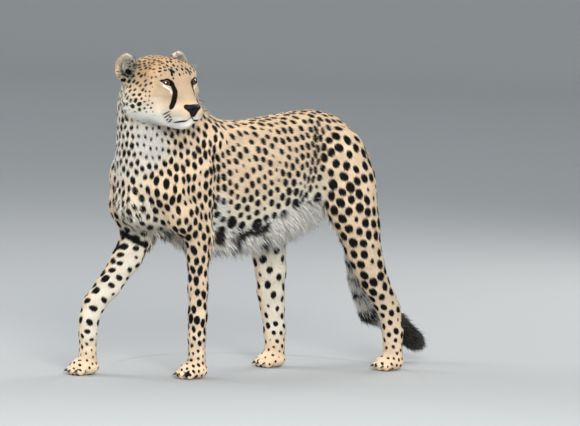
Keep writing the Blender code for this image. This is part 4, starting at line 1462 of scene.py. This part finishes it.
def lock_mesh(roots, start, bend, side, length, width):
    """Closed three-sided locks.  With t the way along, the middle line is
    root + length (t start + t^2 bend); the width swells a little and runs out at the tip."""
    t = np.append(LOCK_RINGS, 1.0)
    course = t[:, None] * start[:, None] + (t**2)[:, None] * bend[:, None]
    middle = roots[:, None] + length[:, None, None] * course
    way = unit(np.gradient(middle, axis=1).reshape(-1, 3)).reshape(middle.shape)
    side = side[:, None] - way * (side[:, None] * way).sum(2, keepdims=True)
    side /= np.maximum(np.linalg.norm(side, axis=2, keepdims=True), 1e-9)
    ridge = np.cross(way, side)
    wide = (width[:, None] * (0.75 + 0.9 * t * (1 - t)) * (1 - t**2) ** 0.7)[:, :, None]
    ring = [middle - side * wide / 2, middle + ridge * wide * 0.38, middle + side * wide / 2]
    rings = np.stack(ring, 2)[:, :-1]
    points = np.concatenate([rings.reshape(len(roots), -1, 3), middle[:, -1:]], 1)
    count, last = len(LOCK_RINGS), 3 * len(LOCK_RINGS)
    faces = [(2, 1, 0)]
    for k in range(count - 1):
        for j in range(3):
            a, b = 3 * k + j, 3 * k + (j + 1) % 3
            faces += [(a, b, b + 3), (a, b + 3, a + 3)]
    faces += [(last - 3 + j, last - 3 + (j + 1) % 3, last) for j in range(3)]
    base = (last + 1) * np.arange(len(roots))[:, None, None]
    return points.reshape(-1, 3), (base + np.array(faces)).reshape(-1, 3)


LOCK_PATCH = [(x, y - 0.5) for y in LOCK_RINGS for x in (-0.5, 0.0, 0.5)] + [(0.0, 0.5)]


def locks(name, sheet_of, wanted, spacing, length, width, out, down, back, seed, clouded=False):
    """Locks over the part of the skin where wanted is above zero: spacing apart, length and
    width scaled by wanted, leaving the skin at out and bending by down and back.  Clouded
    ones take the dark blotches of the belly in place of the skin's spots."""
    face, shares = grown_over(np.where(wanted > 0.03, wanted.clip(0, 1) / spacing**2, 0), seed)
    rng = np.random.default_rng(seed + 100)
    at, normal, lie, share, tone, rows = (
        skin_values(values, face, shares)
        for values in (skin_places, skin_normals, skin_lie, wanted, skin_tone, part_rows)
    )
    normal, lie, count = unit(normal), unit(lie), len(at)
    rise = normal * (out * rng.uniform(0.5, 1.5, count))[:, None]
    start = unit(lie + rise + rng.normal(0, 0.10, at.shape))
    bend = np.array((0, back, -down)) + rng.normal(0, LOCK_CURL, at.shape) * 0.5
    long = length * (0.35 + 0.65 * share.clip(0, 1)) * rng.uniform(0.7, 1.15, count)
    tone = tone * rng.normal(1, 0.08, count)[:, None]
    dark = ramp(marking_distance(at, dict(zip(GROUPS, rows.T))), 0.0012, -0.0015)
    # Each lock pales towards its end: partly the hair's own tone and partly painted light on the
    # ends.
    root = mixed(tone, BLACK * 3, dark)
    end = mixed(tone * 1.15, BLACK * 3, dark * 0.92)
    wide = width * rng.uniform(0.7, 1.2, count)
    points, faces = lock_mesh(at - normal * 0.0008, start, bend, np.cross(normal, lie), long, wide)
    t = np.repeat(np.append(LOCK_RINGS, 1.0), [3] * len(LOCK_RINGS) + [1])
    colours = (root[:, None] * (1 - t)[:, None] + end[:, None] * t[:, None]).reshape(-1, 3)
    if clouded:
        cloud = ramp(wavering(points, 0.030, 6) + 0.25 * wavering(points, 0.012, 8), 0.14, 0.36)
        cloud *= ramp(points[:, 1], 0.14, 0.06)
        inked = (dark[:, None] * (1 - t) ** 2).ravel()
        colours = mixed(np.repeat(tone, len(t), axis=0), BLACK * 4, np.maximum(cloud, inked))
    points[:, 2] = np.maximum(points[:, 2], 0.001)
    coat_piece(name, unwrapped(sheet_of, at), points, faces, colours, LOCK_PATCH)


across, to_rear, up = skin_normals.T
behind, height = skin_places[:, 1], skin_places[:, 2]
face_behind, face_height = near_skin[:, 1], near_skin[:, 2]
trunk, chest, neck, head = (skin_part[group] for group in ("trunk", "chest", "neck", "head"))
fore, hind = (skin_part[end + "_left"] + skin_part[end + "_right"] for end in ("fore", "hind"))

belly = (trunk + chest) * ramp(over_belly(skin_places), 0.044, 0.004)
belly = belly * ramp(behind, -0.34, -0.27) * ramp(behind, 0.33, 0.28)
locks("coat_belly_fringe", "trunk", belly, 0.0034, 0.050, 0.0036, 0.25, 0.60, 0.06, 51, clouded=True)

groin = hind * ramp(-np.sign(skin_places[:, 0]) * across, 0.1, 0.6)
groin = groin * (ramp(height, 0.34, 0.42) * ramp(height, 0.56, 0.48))
elbows = fore * ramp(to_rear, 0.3, 0.8) * ramp(height, 0.30, 0.36) * ramp(height, 0.46, 0.42)
groin = np.maximum(groin, elbows)
locks("coat_groin_fringe", "trunk", groin, 0.0040, 0.026, 0.0034, 0.25, 0.35, 0.05, 52)

ruff = (chest + 0.8 * neck + 0.6 * trunk) * ramp(-to_rear, 0.2, 0.75) * ramp(height, 0.42, 0.46)
under = 0.8 * trunk * ramp(up, -0.3, -0.7) * ramp(behind, -0.14, -0.2)
ruff = np.maximum(ruff * ramp(height, 0.56, 0.48), under)
locks("coat_chest_ruff", "neck", ruff * 0.75, 0.0046, 0.022, 0.0030, 0.22, 0.20, 0.0, 53)

nape = (neck + trunk) * ramp(to_rear + 0.6 * up, 0.55, 0.95)
nape = nape * ramp(height, 0.66, 0.70) * ramp(behind, -0.05, -0.12)
locks("coat_nape_mane", "neck", nape * 0.7, 0.0044, 0.024, 0.0026, 0.30, 0.05, 0.05, 54)

cheek = head * ramp(face_height, 0.01, -0.03)
cheek = cheek * ramp(face_behind, -0.045, -0.010) * ramp(face_behind, 0.075, 0.045)
chin = head * ramp(face_height, -0.060, -0.078) * ramp(face_behind, -0.130, -0.110)
ruff = np.maximum(cheek * 0.6, chin * 0.5)
locks("coat_cheek_ruff", "head", ruff, 0.0036, 0.014, 0.0020, 0.20, 0.10, 0.0, 55)

thighs = hind * ramp(to_rear, 0.55, 0.9) * ramp(height, 0.20, 0.30) * ramp(height, 0.60, 0.52)
locks("coat_thigh_feather", "hind_left", thighs * 0.5, 0.0050, 0.018, 0.0026, 0.18, 0.25, 0.0, 56)

brush = skin_part["tail"] * ramp(tail_gone(skin_places), 0.35, 0.80)
locks("coat_tail_brush", "tail", brush, 0.0030, 0.030, 0.0034, 0.34, 0.06, 0.15, 57)

ears_wanted = np.zeros(len(skin_places))
for side in (1, -1):
    ear = ear_near(near_skin, side)
    hollow = egg_distance(ear, EAR_HOLLOW_AT, (0.0265, 0.0160, 0.0310))
    shell = egg_distance(ear, (0, 0, 0), EAR_HALF)
    inside = (np.abs(hollow) < 0.004) * (shell < 0.01) * (ear[:, 1] < 0.002)
    ears_wanted += inside * ramp(ear[:, 2], 0.03, 0.00)
locks("coat_ear_fill", "head", ears_wanted * head * 0.8, 0.0026, 0.015, 0.0014, 0.55, 0.0, 0.0, 58)

# ---------------------------------------------------------------------------
# The eyes: a ball with a slightly raised clear front over an amber iris and a
# round black pupil, set behind the lids.  Wet and very smooth.
# ---------------------------------------------------------------------------
PUPIL, IRIS, RING = 0.26, 0.60, 0.68      # radians from the middle of the eye
eye_finish, eye_shader = shader_of(
    "eye_wet", (0.2, 0.08, 0.02), 0.10, Coat_Weight=1.0, Coat_Roughness=0.02)
nodes, links = eye_finish.node_tree.nodes, eye_finish.node_tree.links
bands = nodes.new("ShaderNodeValToRGB")
first, last = bands.color_ramp.elements
first.position, first.color = 0.0, (0.002, 0.002, 0.002, 1)
last.position, last.color = 1.0, (0.05, 0.035, 0.03, 1)
# The iris is a dark amber, darkened further as painted shade from the upper lid.
for place, colour in (
    (PUPIL, (0.002, 0.002, 0.002)),
    (PUPIL + 0.02, (0.09, 0.032, 0.008)),
    (0.40, (0.15, 0.055, 0.012)),
    (IRIS - 0.06, (0.06, 0.021, 0.006)),
    (IRIS, (0.008, 0.005, 0.004)),
    (RING + 0.06, (0.012, 0.009, 0.008)),
):
    bands.color_ramp.elements.new(place).color = (*colour, 1)
streak = nodes.new("ShaderNodeTexNoise")
streak.noise_dimensions = "2D"
streak.inputs["Scale"].default_value = 9.0
streak.inputs["Detail"].default_value = 3.0
tinted = nodes.new("ShaderNodeMix")
tinted.data_type, tinted.blend_type = "RGBA", "MULTIPLY"
tinted.inputs["Factor"].default_value = 0.55
links.new(stored(eye_finish, "off_axis").outputs["Fac"], bands.inputs["Fac"])
links.new(stored(eye_finish, "rays").outputs["Vector"], streak.inputs["Vector"])
links.new(bands.outputs["Color"], tinted.inputs["A"])
links.new(streak.outputs["Color"], tinted.inputs["B"])
links.new(tinted.outputs["Result"], eye_shader.inputs["Base Color"])


EYE_BULGE, EYE_RINGS, EYE_SIDES = 0.0012, 40, 64


def eyeball(name, side, node):
    """A ball round the eye's own axis.  With a the angle from it, its radius is
    EYE_RADIUS + EYE_BULGE (1 - (a / RING)^2)^1.5, which raises a flat dome over the iris."""
    tilt = np.linspace(0.0001, math.pi - 0.0001, EYE_RINGS)[:, None]
    turn = np.linspace(0, 2 * math.pi, EYE_SIDES, endpoint=False)[None, :]
    radius = EYE_RADIUS + EYE_BULGE * np.maximum(1 - (tilt / RING) ** 2, 0) ** 1.5
    local = (
        radius * np.sin(tilt) * np.cos(turn),
        radius * np.sin(tilt) * np.sin(turn),
        radius * np.cos(tilt) + 0 * turn,
    )
    place = from_head(mirrored(EYE_AT, side) + np.stack(local, -1).reshape(-1, 3) @ eye_frame(side))
    faces = grid_faces(EYE_RINGS, EYE_SIDES, True)
    if np.linalg.det(eye_frame(side)) > 0:
        faces = faces[:, ::-1]
    ball = mesh_piece(name, place, faces, eye_finish)
    attribute(ball.data, "off_axis", np.repeat(tilt[:, 0], EYE_SIDES))
    around = [np.cos(turn) * 6 + 0 * tilt, np.sin(turn) * 6 + 0 * tilt, tilt * 1.5 + 0 * turn]
    around = np.stack(around, -1)
    rays = ball.data.attributes.new("rays", "FLOAT_VECTOR", "POINT")
    rays.data.foreach_set("vector", around.astype(np.float32).ravel())
    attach(ball, "root")
    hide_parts(node)


eyeball("eyeball_left", 1, "eye_left")
eyeball("eyeball_right", -1, "eye_right")

# ---------------------------------------------------------------------------
# The nose: a bare black pad of pebbled leather, with comma-shaped nostrils and
# a groove down its middle.
# ---------------------------------------------------------------------------
leather, leather_shader = shader_of(
    "nose_leather", (0.004, 0.0036, 0.0036), 0.55,
    Specular_IOR_Level=0.18, Coat_Weight=0.03, Coat_Roughness=0.35)
nodes, links = leather.node_tree.nodes, leather.node_tree.links
where = nodes.new("ShaderNodeTexCoord")
pebbles = nodes.new("ShaderNodeTexVoronoi")
pebbles.inputs["Scale"].default_value = 900.0
raised = nodes.new("ShaderNodeBump")
raised.inputs["Strength"].default_value = 0.35
raised.inputs["Distance"].default_value = 0.0005
links.new(where.outputs["Object"], pebbles.inputs["Vector"])
links.new(pebbles.outputs["Distance"], raised.inputs["Height"])
links.new(raised.outputs["Normal"], leather_shader.inputs["Normal"])
NOSE_GRID = 0.0008
NOSTRIL_SLIT = ((0.0105, -0.0092, -0.0022), (0.0165, -0.0045, -0.0042), (0.0225, 0.0010, -0.0020))


def nose_distance(near):
    """The pad in the head's frame: a wide egg, wings at both sides and a narrower foot,
    less the nostrils, the slits behind them and the middle groove."""
    at = near - NOSE_AT
    pad = egg_distance(at, (0, 0.002, 0.003), (0.0205, 0.0118, 0.0095))
    pad = blended(pad, egg_distance(at, (0, 0.002, -0.0035), (0.0150, 0.0112, 0.0105)), 0.006)
    pad = blended(pad, egg_distance(at, (0, 0.002, -0.0100), (0.0085, 0.0102, 0.0110)), 0.006)
    for side in (1, -1):
        wing = egg_distance(at, mirrored((0.0175, 0.0065, 0.003), side), (0.0078, 0.0105, 0.0085))
        pad = blended(pad, wing, 0.005)
        hole = egg_distance(at, mirrored((0.0088, -0.0095, -0.0010), side), (0.0040, 0.0080, 0.0033))
        slit, _ = path_distance(at, [mirrored(place, side) for place in NOSTRIL_SLIT])
        pad = carved(pad, np.minimum(hole, slit - 0.0015), 0.0016)
    groove = np.maximum(np.abs(at[:, 0]) - 0.0006, at[:, 1] + 0.0082)
    return carved(pad, np.maximum(groove, at[:, 2] + 0.001), 0.0014)


nose_reach = np.array((0.030, 0.022, 0.026))
nose_count = (2 * nose_reach / NOSE_GRID).astype(int)
nose_axes = [NOSE_AT[k] - nose_reach[k] + NOSE_GRID * np.arange(nose_count[k]) for k in range(3)]
nose_field = nose_distance(grid_places(nose_axes).reshape(-1, 3)).reshape(nose_count)
nose_points, nose_faces = surface_of(nose_field.astype(np.float32), NOSE_GRID, 0.01)
nose_points = nose_points + NOSE_AT - nose_reach
nose = mesh_piece("nose_pad", from_head(nose_points), nose_faces[:, ::-1], leather)
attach(nose, "root")
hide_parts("nose")

# ---------------------------------------------------------------------------
# The claws: sixteen short curved hooks, blunt and always out, one on each toe.
# ---------------------------------------------------------------------------
horn, horn_shader = shader_of("claw_horn", (0.030, 0.024, 0.020), 0.35)
grained(horn, horn_shader, 260.0, 0.20, (0.28, 0.50))
CLAW_LENGTH, CLAW_RADIUS, CLAW_RINGS, CLAW_SIDES = 0.0135, 0.0030, 9, 10


def hook_mesh(roots):
    """Tapered tubes.  With t the way along, each leads forwards by CLAW_LENGTH t, curves
    down by 0.0062 t^2 - 0.0015 t, and is CLAW_RADIUS (1 - 0.93 t^1.3) thick."""
    t = np.linspace(0, 1, CLAW_RINGS)
    radius = CLAW_RADIUS * (1 - 0.93 * t**1.3)
    middle = np.stack([0 * t, -CLAW_LENGTH * t, -0.0062 * t**2 + 0.0015 * t], 1)
    angle = np.linspace(0, 2 * math.pi, CLAW_SIDES, endpoint=False)
    ring = np.stack([0.8 * np.cos(angle), 0 * angle, 1.15 * np.sin(angle)], 1)
    one = (middle[:, None] + ring[None] * radius[:, None, None]).reshape(-1, 3)
    one = np.concatenate([one, middle[:1], middle[-1:] + (0, -0.0004, -0.0002)])
    quads = grid_faces(CLAW_RINGS, CLAW_SIDES, True)
    first, last, end = len(one) - 2, len(one) - 1, (CLAW_RINGS - 1) * CLAW_SIDES
    beside = [(j, (j + 1) % CLAW_SIDES) for j in range(CLAW_SIDES)]
    caps = [(a, b, first) for a, b in beside] + [(b + end, a + end, last) for a, b in beside]
    triangles = np.concatenate([quads[:, [0, 1, 2]], quads[:, [0, 2, 3]], np.array(caps)])
    base = len(one) * np.arange(len(roots))[:, None, None]
    return (roots[:, None] + one[None]).reshape(-1, 3), (base + triangles).reshape(-1, 3)


claw_roots = np.concatenate([toe_places(limb) for limb in LIMBS]) + (0, -TOE_RADIUS * 0.82, 0.0015)
claw_points, claw_faces = hook_mesh(claw_roots)
claw_points[:, 2] = np.maximum(claw_points[:, 2], 0.0008)
claws = mesh_piece("claws", claw_points, claw_faces, horn)
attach(claws, "root")

# ---------------------------------------------------------------------------
# The whiskers: stiff white bristles in rows on the muzzle, and a few over each
# eye, each sunk in the skin at its root.
# ---------------------------------------------------------------------------
bristle, bristle_shader = shader_of("whisker_white", (0.82, 0.80, 0.75), 0.45)
grained(bristle, bristle_shader, 800.0, 0.05, (0.35, 0.55))
WHISKER_ROWS = ((-0.040, 3), (-0.048, 4), (-0.056, 4))   # height, and how many in the row
WHISKER_WIDTH, WHISKER_SUNK = 0.0007, 0.003
starts, ways, lengths = [], [], []
rng = np.random.default_rng(91)
for side in (1, -1):
    for height_at, count in WHISKER_ROWS:
        for k in range(count):
            place = (0.030 + 0.003 * k, -0.132 + 0.0105 * k, height_at - 0.002 * k)
            starts.append(mirrored(place, side))
            ways.append(mirrored((0.86, 0.34 + 0.10 * k, -0.10 + 3.0 * (height_at + 0.048)), side))
            lengths.append(rng.uniform(0.045, 0.070))
    for k in range(3):
        starts.append(mirrored((0.032 + 0.006 * k, -0.086 + 0.004 * k, 0.048), side))
        ways.append(mirrored((0.30 + 0.2 * k, -0.25, 0.9), side))
        lengths.append(rng.uniform(0.025, 0.040))
starts, lengths = from_head(np.array(starts)), np.array(lengths)
ways = unit(np.array(ways)) @ HEAD_TURN.T
for _ in range(3):
    starts = starts - ways * np.clip(flesh_distance(starts, ("head",)), -0.01, 0.01)[:, None]
droop = np.tile((0, 0, -0.22), (len(starts), 1)) + rng.normal(0, 0.05, starts.shape)
whisker_side = unit(np.cross(ways, (0.2, 0.1, 1.0)))
whisker_widths = np.full(len(lengths), WHISKER_WIDTH)
whisker_points, whisker_faces = lock_mesh(
    starts - ways * WHISKER_SUNK, ways, droop, whisker_side, lengths, whisker_widths)
whiskers = mesh_piece("whiskers", whisker_points, whisker_faces, bristle)
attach(whiskers, "root")
